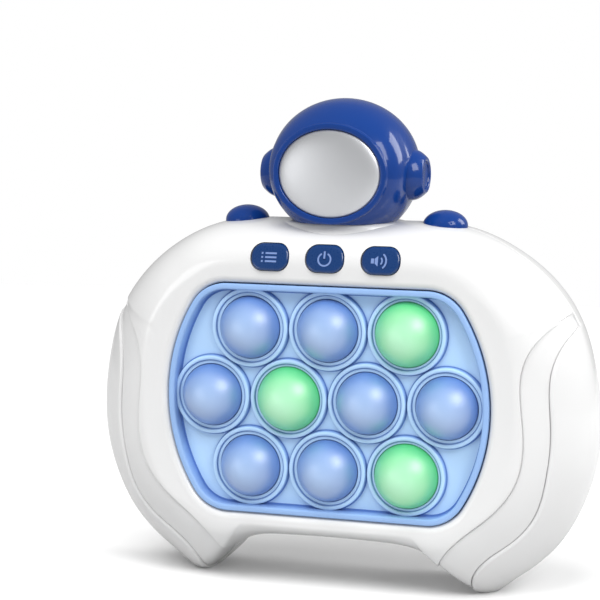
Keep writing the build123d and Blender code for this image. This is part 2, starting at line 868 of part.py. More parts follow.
visor_face = helmet_face + bezel_height / 2
with BuildPart() as visor:
    with BuildSketch(turning_plane(0, 0)):
        with BuildLine():
            EllipticalCenterArc((0, visor_face), visor_half_width - visor_gap, visor_bulge)
            Polyline((visor_half_width - visor_gap, visor_face),
                     (visor_half_width - visor_gap, visor_face - visor_thickness),
                     (0, visor_face - visor_thickness), (0, visor_face + visor_bulge))
        make_face()
    revolve(axis=turning_axis(0, 0))
    scale(by=(1, 1, (visor_half_height - visor_gap) / (visor_half_width - visor_gap)))
visor.part = Pos(0, 0, visor_z) * visor.part
finish(visor, "visor")


def make_ear_cup(side, name):
    """A round cup on the helmet's side with a shallow dish in its end."""
    with BuildPart() as cup:
        with BuildSketch(Plane.YZ):
            with Locations((helmet_y, ear_z)):
                Circle(ear_base_radius)
        with BuildSketch(Plane.YZ.offset(side * ear_reach)):
            with Locations((helmet_y, ear_z)):
                Circle(ear_end_radius)
        loft()
        end_face = cup.faces().sort_by(Axis.X)[-1 if side > 0 else 0]
        fillet(end_face.edges(), ear_round)
        with BuildSketch(Plane.YZ.offset(side * (ear_reach - ear_dish))):
            with Locations((helmet_y, ear_z)):
                Circle(ear_dish_radius)
        extrude(amount=side * overrun, mode=Mode.SUBTRACT)
        add(helmet_outer, mode=Mode.SUBTRACT)
    finish(cup, name)


make_ear_cup(-1, "ear_cup_left")
make_ear_cup(1, "ear_cup_right")


def make_hand(side, name):
    """A small domed hand that rests on the shoulder, with a peg through the case."""
    with BuildPart() as dome:
        Sphere(hand_radius)
        scale(by=(1, 1, (hand_top - hand_base) / hand_radius))
        split(bisect_by=Plane.XY, keep=Keep.TOP)
        Cylinder(hand_radius, hand_top - hand_base, align=(Align.CENTER, Align.CENTER, Align.MAX))
    with BuildPart() as hand:
        add(Pos(side * hand_x, helmet_y, hand_base) * dome.part)
        add(outer_form, mode=Mode.SUBTRACT)
        with BuildSketch(Plane.XY.offset(hand_peg_bottom)):
            with Locations((side * hand_x, helmet_y)):
                Circle(hand_peg_radius)
        extrude(amount=hand_base - hand_peg_bottom)
    finish(hand, name)


make_hand(-1, "hand_left")
make_hand(1, "hand_right")


speaker_back = back_wall_forward
with BuildPart() as speaker_basket:
    with BuildSketch(front_plane(speaker_back)):
        with Locations((0, speaker_z)):
            Circle(speaker_radius)
    extrude(amount=speaker_depth)
    with BuildSketch(front_plane(speaker_back + speaker_depth)):
        with Locations((0, speaker_z)):
            Circle(magnet_radius)
    extrude(amount=magnet_depth)
    with BuildSketch(turning_plane(0, speaker_z)):
        with BuildLine():
            Polyline((0, speaker_back), (cone_radius, speaker_back),
                     (cone_radius, speaker_back + cone_wall),
                     (cone_centre_radius, speaker_back + cone_wall + cone_depth),
                     (0, speaker_back + cone_wall + cone_depth), close=True)
        make_face()
    revolve(axis=turning_axis(0, speaker_z), mode=Mode.SUBTRACT)
finish(speaker_basket, "speaker_basket")

with BuildPart() as speaker_cone:
    with BuildSketch(turning_plane(0, speaker_z)):
        with BuildLine():
            Polyline((cone_radius, speaker_back), (cone_radius, speaker_back + cone_wall),
                     (cone_centre_radius, speaker_back + cone_wall + cone_depth),
                     (0, speaker_back + cone_wall + cone_depth),
                     (0, speaker_back + cone_depth), (cone_centre_radius, speaker_back + cone_depth),
                     close=True)
        make_face()
    revolve(axis=turning_axis(0, speaker_z))
finish(speaker_cone, "speaker_cone")


for number, battery_row in enumerate(battery_rows):
    way = 1 if number % 2 == 0 else -1
    nub_end = way * (bay_half_width - contact_thickness)
    body_end = nub_end - way * battery_nub
    with BuildPart() as battery:
        with BuildSketch(Plane.YZ.offset(body_end)):
            with Locations((-battery_forward, battery_row)):
                Circle(battery_radius)
        extrude(amount=-way * battery_length)
        with BuildSketch(Plane.YZ.offset(body_end)):
            with Locations((-battery_forward, battery_row)):
                Circle(battery_nub_radius)
        extrude(amount=way * battery_nub)
    finish(battery, f"battery_{number + 1}")

with BuildPart() as battery_contacts:
    for side in both_sides:
        with BuildSketch(Plane.YZ.offset(side * bay_half_width)):
            with Locations(*[(-battery_forward, battery_row) for battery_row in battery_rows]):
                Rectangle(contact_size, contact_size)
        extrude(amount=-side * contact_thickness)
finish(battery_contacts, "battery_contacts")

with BuildPart() as battery_springs:
    turn_pitch = spring_room / spring_turns
    for number, battery_row in enumerate(battery_rows):
        way = 1 if number % 2 == 0 else -1
        for turn in range(spring_turns):
            turn_reach = turn * turn_pitch + turn_pitch / 2
            turn_x = -way * (bay_half_width - contact_thickness - turn_reach)
            turn_plane = Plane(origin=(turn_x, -battery_forward, battery_row), z_dir=(1, 0, 0))
            with Locations(turn_plane):
                Torus(spring_radius - turn * spring_wire, spring_wire)
finish(battery_springs, "battery_springs")


with BuildPart() as battery_door:
    with BuildSketch(front_plane(door_seat_forward)):
        with Locations((0, door_z)):
            RectangleRounded(2 * door_half_width, door_height, door_corner)
    extrude(amount=-door_thickness)
    with BuildSketch(front_plane(door_seat_forward)):
        with Locations((0, door_screw_z)):
            Circle(screw_hole_radius)
    extrude(amount=-overrun, mode=Mode.SUBTRACT)
    with BuildSketch(front_plane(door_seat_forward - door_thickness / 2)):
        with Locations((0, door_screw_z)):
            Circle(screw_head_radius + head_clearance)
    extrude(amount=-overrun, mode=Mode.SUBTRACT)
finish(battery_door, "battery_door")

with BuildPart() as door_screw:
    with BuildSketch(front_plane(door_seat_forward - door_thickness / 2)):
        with Locations((0, door_screw_z)):
            Circle(screw_radius)
    extrude(amount=door_thickness / 2 + door_screw_reach)
    with BuildSketch(front_plane(door_seat_forward - door_thickness / 2)):
        with Locations((0, door_screw_z)):
            Circle(screw_head_radius)
    extrude(amount=-door_thickness / 2)
finish(door_screw, "door_screw")


def make_lead(points):
    """A tube along straight runs joined by arcs as large as the shorter run allows."""
    radii = []
    for before, corner, after in zip(points, points[1:], points[2:]):
        run_in = Vector(*corner) - Vector(*before)
        run_out = Vector(*after) - Vector(*corner)
        shorter = min(run_in.length, run_out.length)
        half_turn = math.radians(run_in.get_angle(run_out)) / 2
        radii.append(arc_share * shorter / math.tan(half_turn))
    with BuildPart() as lead:
        with BuildLine() as path:
            FilletPolyline(*points, radius=radii)
        route = path.wires()[0]
        with BuildSketch(Plane(origin=route @ 0, z_dir=route % 0)):
            Circle(lead_radius)
        sweep(path=route)
    section = math.pi * lead_radius ** 2
    print("lead radii", radii, "volume share", lead.part.volume / (section * route.length))
    return lead.part


board_back_y = -board_back_forward
speaker_lead_z = speaker_z - (speaker_radius + magnet_radius) / 2
speaker_seat_y = -(speaker_back + speaker_depth)
speaker_leads = []
for side in both_sides:
    lead_x = side * lead_spread
    speaker_leads.append(make_lead((
        (lead_x, board_back_y, speaker_lead_z - lead_shift),
        (lead_x, board_back_y + lead_clearance, speaker_lead_z - lead_shift),
        (lead_x, speaker_seat_y - lead_clearance, speaker_lead_z),
        (lead_x, speaker_seat_y, speaker_lead_z))))
battery_leads = []
for side in both_sides:
    plate_x = side * bay_half_width
    bend_x = side * (bay_half_width + battery_lead_reach)
    battery_leads.append(make_lead((
        (plate_x, -battery_forward, lead_z), (bend_x, -battery_forward, lead_z),
        (bend_x, board_back_y, lead_z))))

with BuildPart() as speaker_lead_pair:
    add(speaker_leads)
finish(speaker_lead_pair, "speaker_leads")
with BuildPart() as battery_lead_pair:
    add(battery_leads)
finish(battery_lead_pair, "battery_leads")
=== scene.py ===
from math import asin, atan2, cos, degrees, pi, radians, sin, sqrt, tan

import bmesh
import bpy
import numpy as np
from mathutils import Matrix, Vector


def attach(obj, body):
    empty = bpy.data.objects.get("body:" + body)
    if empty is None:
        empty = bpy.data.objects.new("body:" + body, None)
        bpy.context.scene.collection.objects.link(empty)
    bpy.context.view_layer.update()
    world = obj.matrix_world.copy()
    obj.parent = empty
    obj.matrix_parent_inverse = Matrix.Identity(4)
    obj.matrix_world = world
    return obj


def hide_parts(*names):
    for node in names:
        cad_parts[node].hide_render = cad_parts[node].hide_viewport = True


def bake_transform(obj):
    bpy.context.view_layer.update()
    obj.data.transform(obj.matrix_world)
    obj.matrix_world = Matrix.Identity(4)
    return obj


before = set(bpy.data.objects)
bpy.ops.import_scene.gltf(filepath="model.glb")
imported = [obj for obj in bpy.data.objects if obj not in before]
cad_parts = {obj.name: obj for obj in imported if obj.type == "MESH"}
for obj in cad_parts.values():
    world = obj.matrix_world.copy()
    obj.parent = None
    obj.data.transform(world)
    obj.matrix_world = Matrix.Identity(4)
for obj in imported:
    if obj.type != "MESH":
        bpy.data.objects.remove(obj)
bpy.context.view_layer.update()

# Every piece is modelled in millimetres and made metres when it is finished.
# X runs to the player's right, Y to the back, Z up. A forward value is a distance in front of Y = 0.
metre = 0.001

# Case
case_half_width = 80.3
case_top = 113.5
case_front = 19.4
case_back = 24.0
parting_forward = -2.0
front_roundness = 1.65
brow_roundness = 2.4
brow_start = 25.0
brow_spread = 30.0
back_roundness = 2.3
crown_half_width = 58.0
crown_half_height = 39.0
crown_margin = 0.8
crown_blend = 1.0
back_panel_half_width = 64.0
back_panel_half_height = 42.0
panel_squareness = 3.6
shell_wall = 2.0
seam_gap = 0.18
spokes = 420

# Mat opening
opening_half_width = 51.2
opening_half_height = 35.75
opening_side_radius = 57.0
opening_corner_radius = 13.0
opening_drop = 0.25
opening_roll = 2.4
opening_fall = 0.45
opening_fall_width = 7.0
opening_wall_forward = 13.8

# Step between the raised frame and the lower side bands, and the rounded lip of the grips.
# The step's section gives the distance from the seam and the share of the step's depth.
band_step = 0.65
band_fade = 9.0
frame_margin = 0.5
step_section = ((-0.4, 0.0), (-0.2, 0.06), (-0.08, 0.2), (-0.02, 0.5), (0.03, 1.1), (0.1, 1.4), (0.2, 1.4),
                (0.3, 1.1), (0.42, 1.0))
shell_edge_round = 0.35
grip_lip_round = 1.1

# The widest outline of the case, right half from the top down to the arch between the lobes,
# as shares of the half width and of the top height, and the two seams on each side.
outline_shares = (
    (0.0, 1.0), (0.25, 0.9995), (0.475, 0.989), (0.665, 0.932), (0.825, 0.839),
    (0.923, 0.735), (0.976, 0.613), (1.0, 0.474), (0.987, 0.352), (0.945, 0.254),
    (0.868, 0.152), (0.755, 0.07), (0.67, 0.024), (0.585, -0.0105), (0.505, 0.018),
    (0.435, 0.071), (0.345, 0.106), (0.185, 0.121), (0.0, 0.124),
)
grip_seam_shares = (
    (0.985, 0.785), (0.905, 0.715), (0.862, 0.64), (0.862, 0.47), (0.846, 0.345),
    (0.80, 0.237), (0.715, 0.165), (0.62, 0.112), (0.56, 0.055), (0.54, -0.05),
)
band_seam_shares = (
    (0.96, 0.790), (0.835, 0.735), (0.765, 0.66), (0.763, 0.47), (0.742, 0.345),
    (0.66, 0.258), (0.55, 0.19), (0.455, 0.118), (0.415, 0.055), (0.405, -0.05),
)

# Back of the case
speaker_z = 85.4
grille_pitch = 3.4
grille_rings = 3
grille_hole_radius = 0.9
back_cut_depth = 4.0
cut_past = 4.0
door_z = 47.5
door_seat_y = 22.0
door_half_width = 26.05
door_height = 43.4
door_corner = 3.0
door_gap = 0.3
door_play = 0.02
door_screw_z = 64.8
door_boss_radius = 3.2
door_boss_depth = 10.0
door_bore_radius = 1.3
door_bore_depth = 8.5
bay_wall = 1.5
bay_half_width = 24.05
bay_half_height = 16.2
bay_corner = 0.4
bay_outer_corner = 0.5
bay_joint = 0.5
bay_floor_y = 10.9
bay_room_depth = 20.0
battery_z = 44.0
screw_wells = ((34.0, 104.5), (61.5, 60.0), (40.0, 12.5))
screw_well_radius = 2.6
screw_well_forward = -8.0
screw_seat_forward = -6.0
boss_radius = 3.4
boss_inset = 0.6

# Bubbles. The painted shades give a share of the radius and how deep the colour is there: painted shade
# that deepens from a pale crown to a dark line at the rim.
bubble_pitch = 25.0
bubble_row_turn = 60.0
bubble_radius = 9.6
lit_bubble_radius = 9.9
lit_bubbles = (3, 5, 10)
bubble_height = 8.0
bubble_z = 59.4
bubble_base_forward = 16.0
bubble_rim_drop = 0.35
bubble_wall = 1.3
flange_forward = 14.2
flange_reach = 1.3
flange_thickness = 0.6
bubble_painted_shades = ((0.0, 0.0), (0.35, 0.15), (0.7, 0.5), (0.92, 0.85), (1.0, 1.0))
bubble_rise = bubble_pitch * sin(radians(bubble_row_turn))
bubble_spots = ([(bubble_pitch * i, bubble_z + bubble_rise) for i in (-1, 0, 1)]
                + [(bubble_pitch * (i - 0.5), bubble_z) for i in (-1, 0, 1, 2)]
                + [(bubble_pitch * i, bubble_z - bubble_rise) for i in (-1, 0, 1)])

# Mat
mat_gap = 0.2
mat_back_forward = 13.6
border_width = 1.9
border_top = 18.7
border_outer_round = 0.45
border_inner_round = 0.6
hole_gap = 0.12
floor_forward = 14.6
ledge_forward = 15.65
ridge_forward = 16.35
sheet_thickness = 1.0
cell_spokes = 120
cell_reach = 40.0
cell_steps = 400
cell_merge = 0.03
neighbour_share = 1.1
border_overlap = 0.7

# The web round a bubble, at its hole and then further out: distance, forward value and painted shade. The
# painted shade darkens a line at the hole's edge, the groove round the ledge and the foot of the ring's
# outer wall.
hole_section = ((0.0, ledge_forward - 0.3, 0.6), (0.12, ledge_forward, 0.2), (0.3, ledge_forward, 0.0))
web_section = (
    (10.62, ledge_forward, 0.0), (10.74, ledge_forward - 0.15, 0.65), (10.92, ledge_forward - 0.12, 0.65),
    (11.04, ridge_forward - 0.15, 0.1), (11.25, ridge_forward, 0.0), (11.95, ridge_forward, 0.0),
    (12.15, ridge_forward - 0.12, 0.0), (12.3, floor_forward + 0.9, 0.4), (12.48, floor_forward, 0.9),
    (12.62, floor_forward, 0.8), (12.8, floor_forward, 0.1), (13.2, floor_forward, 0.0),
)
# The border's foot: distance inside the border and height over the mat's floor
border_foot = ((0.12, 0.4), (0.25, 0.06), (0.75, 0.03), (0.8, -0.2))
# The border's painted shades: forward value and painted shade, darkest at its foot on the mat's floor and
# lightest at its top.
border_painted_shades = ((floor_forward, 0.9), (floor_forward + 0.4, 0.75), (border_top - 1.2, 0.65),
                 (border_top - 0.5, 0.45))

# Function buttons
button_pitch = 17.5
button_spots = {"menu_button": -button_pitch, "power_button": 0.0, "volume_button": button_pitch}
button_z = 103.3
button_width = 12.1
button_height = 8.1
button_corner = 3.7
button_forward = 18.9
button_tilt = radians(18.0)
button_edge = 0.95
button_front = 26.0
button_flange_back = 7.4
button_flange_reach = 0.8
button_flange_depth = 1.0
button_stem_radius = 2.4
button_stem_overlap = 2.0
button_tip = 4.6
slot_gap = 0.22
slot_front = 25.0
slot_back = 5.0
symbol_rise = 0.05
symbol_root = 0.2

# Helmet figure and the oval seat under it
helmet_half_width = 23.3
helmet_half_depth = 21.5
helmet_crown = 21.4
helmet_jaw = 22.65
helmet_y = 2.0
helmet_z = 129.5
helmet_face = 13.2
helmet_foot = 113.2
helmet_split = 2.0
helmet_seam = 0.04
helmet_shell = 2.0
helmet_spokes = 192
bezel_width = 2.0
bezel_height = 1.9
bezel_fade = 9.0
bezel_inset = 0.1
bezel_seam = 0.15
bezel_step = 0.3
bezel_round = 0.4
bezel_inner_round = 0.5
bezel_joint = 0.6
visor_half_width = 16.1
visor_half_height = 13.4
visor_z = 128.65
visor_bulge = 2.6
visor_gap = 0.05
visor_rise = 0.95
visor_thickness = 1.5
seat_half_width = 21.0
seat_half_depth = 14.8
seat_top = 113.3
seat_round = 2.2
seat_slope = 60.0
seat_front_foot = 109.0
seat_back_foot = 108.0
seat_spokes = 144

# Ear cups. The side's section gives the radius and the distance from the helmet's middle, and the dish's
# section the radius and the depth below the rim.
ear_z = 127.8
ear_reach = 26.0
ear_side = ((0.0, 17.0), (8.1, 17.0), (8.1, 19.0), (8.03, 20.2), (7.9, 21.4), (7.68, 22.5), (7.35, 23.4),
            (6.9, 24.2), (6.35, 24.9))
ear_rim_radius = 5.0
ear_rim_round = 0.9
ear_dish = ((4.22, 0.5), (4.12, 0.7), (4.0, 0.75), (0.0, 0.75))

# Hands
hand_x = 32.0
hand_radius = 6.9
hand_top = 117.3
hand_base = 112.6
hand_root = 1.6
dimple_turns = (-28, 0, 28)
dimple_radius = 0.65
dimple_outset = 0.25
dimple_up = 1.5

# Camera, floor and lights
camera_place = Vector((182.67, -587.79, 170.32)) * metre
camera_direction = Vector((-0.3146, 0.94, -0.1317))
camera_lens = 120.0
floor_size = 1.3
floor_seen = 0.78
floor_bounce = 0.55
floor_glow = 0.05
world_light = 0.36
sun_power = 2.6
sun_width = radians(45)
sun_turn = (radians(25), radians(-9), 0)

# Each soft light's place, the place it looks at, its width, height and power
soft_lights = {
    "key": ((0.66, -0.46, 0.68), (0.0, 0.0, 0.07), 0.5, 0.5, 6.2),
    "fill": ((-0.5, -0.68, 0.16), (0.0, 0.0, 0.12), 0.3, 0.3, 0.8),
    "strip": ((0.52, 0.3, 0.42), (0.0, 0.0, 0.13), 0.26, 0.4, 2.4),
}


def add_object(name, data):
    """Put a camera or a light in the scene."""
    thing = bpy.data.objects.new(name, data)
    bpy.context.scene.collection.objects.link(thing)
    return thing


def look(thing, place, direction):
    """Put a camera or a light at a place and turn it in a direction."""
    thing.location = place
    thing.rotation_mode = "QUATERNION"
    thing.rotation_quaternion = Vector(direction).to_track_quat("-Z", "Y")


def make_camera():
    """The photograph's view: from the front right, a little above."""
    data = bpy.data.cameras.new("camera")
    data.lens = camera_lens
    camera = add_object("camera", data)
    look(camera, camera_place, camera_direction)
    bpy.context.scene.camera = camera


def make_lights():
    """Three soft lights and a broad sun that leaves no mirror image of itself."""
    for name, (place, aim, width, height, power) in soft_lights.items():
        data = bpy.data.lights.new(name, "AREA")
        data.shape = "RECTANGLE"
        data.size = width
        data.size_y = height
        data.energy = power
        look(add_object(name, data), place, Vector(aim) - Vector(place))
    sun = bpy.data.lights.new("sun", "SUN")
    sun.energy = sun_power
    sun.angle = sun_width
    sunlight = add_object("sun", sun)
    sunlight.rotation_euler = sun_turn
    sunlight.visible_glossy = False


def set_inputs(node, values):
    """Set a node's inputs that nothing is linked to."""
    for name, value in values.items():
        node.inputs[name].default_value = value


def wire(tree, *links):
    """Link nodes. Each link is a node, its output, another node and its input."""
    for source, output, target, entry in links:
        tree.links.new(source.outputs[output], target.inputs[entry])


def grey(tone):
    """A plain grey, from 0 for black to 1 for white."""
    return tone, tone, tone, 1


def make_floor():
    """A pale floor that throws back less light than the camera sees."""
    deselect()
    bpy.ops.mesh.primitive_plane_add(size=floor_size)
    floor = bpy.context.object
    floor.name = "floor"
    material = bpy.data.materials.new("pale floor")
    material.use_nodes = True
    nodes = material.node_tree.nodes
    shader = nodes["Principled BSDF"]
    path = nodes.new("ShaderNodeLightPath")
    tone = nodes.new("ShaderNodeMix")
    tone.data_type = "RGBA"
    set_inputs(tone, {"A": grey(floor_bounce), "B": grey(floor_seen)})
    set_inputs(shader, {"Roughness": 0.9, "Specular IOR Level": 0.1})
    set_inputs(shader, {"Emission Color": grey(1), "Emission Strength": floor_glow})
    wire(material.node_tree, (path, "Is Camera Ray", tone, "Factor"),
         (tone, "Result", shader, "Base Color"))
    floor.data.materials.append(material)


def make_world():
    """Soft light from all sides in front of a white backdrop."""
    world = bpy.data.worlds.new("studio")
    bpy.context.scene.world = world
    world.use_nodes = True
    nodes = world.node_tree.nodes
    light = nodes["Background"]
    set_inputs(light, {"Color": grey(1), "Strength": world_light})
    backdrop = nodes.new("ShaderNodeBackground")
    set_inputs(backdrop, {"Color": grey(1)})
    path = nodes.new("ShaderNodeLightPath")
    blend = nodes.new("ShaderNodeMixShader")
    wire(world.node_tree, (path, "Is Camera Ray", blend, "Fac"), (light, "Background", blend, 1),
         (backdrop, "Background", blend, 2), (blend, "Shader", nodes["World Output"], "Surface"))
    bpy.context.scene.view_settings.view_transform = "Standard"


# Materials
grain_scale = 2500.0
grain_depth = 0.0002


def make_moulding_group():
    """The slight unevenness of a moulded surface: cloudy tint, uneven polish and a fine grain."""
    group = bpy.data.node_groups.new("moulded surface", "ShaderNodeTree")
    sockets = (
        ("INPUT", "Colour", "Color"), ("INPUT", "Tint", "Color"), ("INPUT", "Cloud Scale", "Float"),
        ("INPUT", "Polish", "Float"), ("INPUT", "Polish Spread", "Float"),
        ("OUTPUT", "Colour", "Color"), ("OUTPUT", "Roughness", "Float"), ("OUTPUT", "Height", "Float"),
    )
    for way, name, kind in sockets:
        group.interface.new_socket(name=name, in_out=way, socket_type="NodeSocket" + kind)
    nodes = group.nodes
    given = nodes.new("NodeGroupInput")
    result = nodes.new("NodeGroupOutput")
    place = nodes.new("ShaderNodeTexCoord")
    cloud = nodes.new("ShaderNodeTexNoise")
    set_inputs(cloud, {"Detail": 3.0})
    grain = nodes.new("ShaderNodeTexNoise")
    set_inputs(grain, {"Detail": 2.0, "Scale": grain_scale})
    blend = nodes.new("ShaderNodeMix")
    blend.data_type = "RGBA"
    spread = nodes.new("ShaderNodeMath")
    spread.operation = "MULTIPLY_ADD"
    wire(group, (place, "Object", cloud, "Vector"), (place, "Object", grain, "Vector"),
         (given, "Cloud Scale", cloud, "Scale"), (cloud, "Fac", blend, "Factor"),
         (given, "Colour", blend, "A"), (given, "Tint", blend, "B"), (grain, "Fac", spread, 0),
         (given, "Polish Spread", spread, 1), (given, "Polish", spread, 2),
         (blend, "Result", result, "Colour"), (spread, "Value", result, "Roughness"),
         (grain, "Fac", result, "Height"))
    return group


moulding_group = make_moulding_group()


def make_material(name, colour, tint, polish, spread=0.06, cloud=60.0, grain_height=0.02, metallic=0.0,
                  coat=0.0, coat_polish=0.05, glow=0.0, specular=0.5, ior=1.5, deep=None):
    """A moulded, painted or metal finish with its colour cloud, polish and grain.

    A deep colour, painted shade, takes over where the piece's painted shade attribute is high.
    """
    material = bpy.data.materials.new(name)
    material.use_nodes = True
    tree = material.node_tree
    shader = tree.nodes["Principled BSDF"]
    surface = tree.nodes.new("ShaderNodeGroup")
    surface.node_tree = moulding_group
    set_inputs(surface, {"Colour": (*colour, 1), "Tint": (*tint, 1), "Cloud Scale": cloud})
    set_inputs(surface, {"Polish": polish, "Polish Spread": spread})
    bump = tree.nodes.new("ShaderNodeBump")
    set_inputs(bump, {"Strength": grain_height, "Distance": grain_depth})
    base = (surface, "Colour")
    # The deep colour is painted shade, laid on where the painted shade attribute is high.
    if deep:
        painted_shade = tree.nodes.new("ShaderNodeAttribute")
        painted_shade.attribute_name = "painted_shade"
        blend = tree.nodes.new("ShaderNodeMix")
        blend.data_type = "RGBA"
        set_inputs(blend, {"B": (*deep, 1)})
        wire(tree, (painted_shade, "Fac", blend, "Factor"), (*base, blend, "A"))
        base = (blend, "Result")
    wire(tree, (*base, shader, "Base Color"), (surface, "Roughness", shader, "Roughness"),
         (surface, "Height", bump, "Height"), (bump, "Normal", shader, "Normal"))
    set_inputs(shader, {"Metallic": metallic, "Coat Weight": coat, "Coat Roughness": coat_polish})
    set_inputs(shader, {"Specular IOR Level": specular, "IOR": ior})
    if glow > 0:
        wire(tree, (*base, shader, "Emission Color"))
        set_inputs(shader, {"Emission Strength": glow})
    return material


white_shell = make_material(
    "white shell", (0.66, 0.66, 0.66), (0.64, 0.64, 0.64), 0.3, spread=0.02, grain_height=0.0, coat=0.6,
    coat_polish=0.08)
royal_blue = make_material(
    "royal blue", (0.005, 0.038, 0.2), (0.004, 0.032, 0.18), 0.22, coat=0.5, specular=0.1)
button_blue = make_material(
    "button blue", (0.001, 0.03, 0.13), (0.001, 0.026, 0.115), 0.25, coat=0.6, specular=0.3)
symbol_print = make_material("symbol print", (0.17, 0.25, 0.48), (0.15, 0.22, 0.44), 0.4, specular=0.2)
silver_visor = make_material(
    "silver visor", (0.66, 0.67, 0.69), (0.58, 0.59, 0.61), 0.4, metallic=0.85, coat=0.2, coat_polish=0.35)
# The mat's deep colour is painted shade for its grooves, ring walls and border.
mat_silicone = make_material(
    "mat silicone", (0.44, 0.64, 0.89), (0.41, 0.61, 0.86), 0.45, specular=0.3, deep=(0.05, 0.14, 0.46))
# The bubbles' deep colours are painted shade towards each dome's rim.
bubble_gloss = {"coat": 1.0, "coat_polish": 0.45, "specular": 1.0, "ior": 1.8}
bubble_silicone = make_material(
    "bubble silicone", (0.28, 0.43, 0.7), (0.25, 0.4, 0.67), 0.47, deep=(0.06, 0.16, 0.46), **bubble_gloss)
lit_silicone = make_material(
    "lit silicone", (0.33, 0.68, 0.43), (0.29, 0.65, 0.39), 0.47, deep=(0.04, 0.5, 0.12), glow=0.15,
    **bubble_gloss)


def dress(material, *names):
    """Give carried-over solids their finish."""
    for name in names:
        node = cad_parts[name]
        node.data.materials.clear()
        node.data.materials.append(material)


dress(make_material("clear plastic", (0.8, 0.85, 0.9), (0.76, 0.82, 0.88), 0.15),
      *[f"plunger_{number:02d}" for number in range(1, 11)])
dress(make_material("inner plastic", (0.7, 0.71, 0.72), (0.64, 0.65, 0.66), 0.45), "guide_plate")
dress(make_material("board lacquer", (0.02, 0.14, 0.05), (0.03, 0.18, 0.07), 0.35, cloud=400.0),
      "circuit_board")
dress(make_material("black plastic", (0.02, 0.02, 0.022), (0.03, 0.03, 0.032), 0.4),
      "bubble_switches", "function_switches", "sound_chip")
dress(make_material("lamp plastic", (0.85, 0.85, 0.7), (0.8, 0.8, 0.62), 0.2), "lamps")
dress(make_material("screw steel", (0.55, 0.55, 0.57), (0.45, 0.45, 0.47), 0.3, metallic=1.0),
      "case_screws", "board_screws", "door_screw")
dress(make_material("contact steel", (0.68, 0.68, 0.7), (0.6, 0.6, 0.62), 0.25, metallic=1.0),
      "battery_contacts", "battery_springs")
dress(make_material("battery jacket", (0.05, 0.055, 0.07), (0.04, 0.045, 0.06), 0.3, coat=0.4),
      "battery_1", "battery_2", "battery_3")
dress(make_material("speaker metal", (0.42, 0.42, 0.44), (0.36, 0.36, 0.38), 0.35, metallic=1.0),
      "speaker_basket")
dress(make_material("speaker paper", (0.02, 0.02, 0.022), (0.035, 0.035, 0.038), 0.8, grain_height=0.3),
      "speaker_cone")
dress(make_material("lead sleeve", (0.45, 0.03, 0.02), (0.38, 0.02, 0.02), 0.4),
      "speaker_leads", "battery_leads")
dress(white_shell, "battery_door")


# Ways of working

def deselect():
    """Leave nothing selected."""
    bpy.ops.object.select_all(action="DESELECT")


def pick(piece):
    """Select one piece alone and make it the active one."""
    deselect()
    piece.select_set(True)
    bpy.context.view_layer.objects.active = piece


def settle(piece, place, turn=(0, 0, 0)):
    """Turn a piece, move it to a place, and put both into its mesh."""
    piece.rotation_euler = turn
    piece.location = place
    pick(piece)
    bpy.ops.object.transform_apply()
    return piece


def apply_modifier(piece, kind, **settings):
    """Add a modifier, set it and apply it."""
    pick(piece)
    modifier = piece.modifiers.new(kind, kind)
    for key, value in settings.items():
        setattr(modifier, key, value)
    bpy.ops.object.modifier_apply(modifier=modifier.name)


def mesh_steps(piece, *steps):
    """Open a piece in edit mode with all selected, take the steps and close it again."""
    pick(piece)
    bpy.ops.object.mode_set(mode="EDIT")
    bpy.ops.mesh.select_all(action="SELECT")
    for step in steps:
        step()
    bpy.ops.object.mode_set(mode="OBJECT")


def merge_close(distance=0.004):
    """Merge points that lie within a distance."""
    bpy.ops.mesh.remove_doubles(threshold=distance)


def face_out():
    """Turn all faces outwards."""
    bpy.ops.mesh.normals_make_consistent(inside=False)


def slice_off(piece, place, way, **cleared):
    """Slice a piece with a plane, clear a side of it and close the cut."""
    def slice_piece():
        bpy.ops.mesh.bisect(plane_co=place, plane_no=way, use_fill=True, **cleared)
        bpy.ops.mesh.select_all(action="SELECT")

    mesh_steps(piece, slice_piece, face_out)


def places_of(piece):
    """The piece's points, as rows of places."""
    flat = np.empty(3 * len(piece.data.vertices))
    piece.data.vertices.foreach_get("co", flat)
    return flat.reshape(-1, 3)


def grid_piece(name, places, *steps):
    """A grid primitive moved to rows of places, merged and taken through more steps."""
    places = np.array(places)
    rows, columns = places.shape[0] - 1, places.shape[1] - 1
    deselect()
    bpy.ops.mesh.primitive_grid_add(x_subdivisions=columns, y_subdivisions=rows, size=1)
    piece = bpy.context.object
    piece.name = name
    spots = places_of(piece)
    row = np.rint((spots[:, 1] + 0.5) * rows).astype(int)
    column = np.rint((spots[:, 0] + 0.5) * columns).astype(int)
    piece.data.vertices.foreach_set("co", places[row, column].ravel())
    piece.data.update()
    mesh_steps(piece, merge_close, *steps)
    return piece


def turned_piece(name, section, segments, place=(0, 0, 0), squash=1.0):
    """A piece turned round an axis along Y, from places (radius, y); squash scales its height."""
    radius, y = np.array(section, float).T[..., None]
    turns = np.linspace(0, 2 * pi, segments + 1)
    grid = places_at(place[0] + radius * np.cos(turns), place[1] + y,
                     place[2] + squash * radius * np.sin(turns))
    return grid_piece(name, grid, face_out)


def arc_places(centre, radius, start, end, count):
    """Places along an arc, between two angles in degrees."""
    return [(centre[0] + radius * cos(radians(a)), centre[1] + radius * sin(radians(a)))
            for a in np.linspace(start, end, count)]


def places_at(x, y, z):
    """Rows of places from their coordinates, each of which may be one value for all."""
    return np.stack(np.broadcast_arrays(x, y, z), axis=-1)


def distance_from(piece, centre):
    """How far each point of a piece lies from a place (x, z)."""
    return np.hypot(*(places_of(piece)[:, ::2] - centre).T)


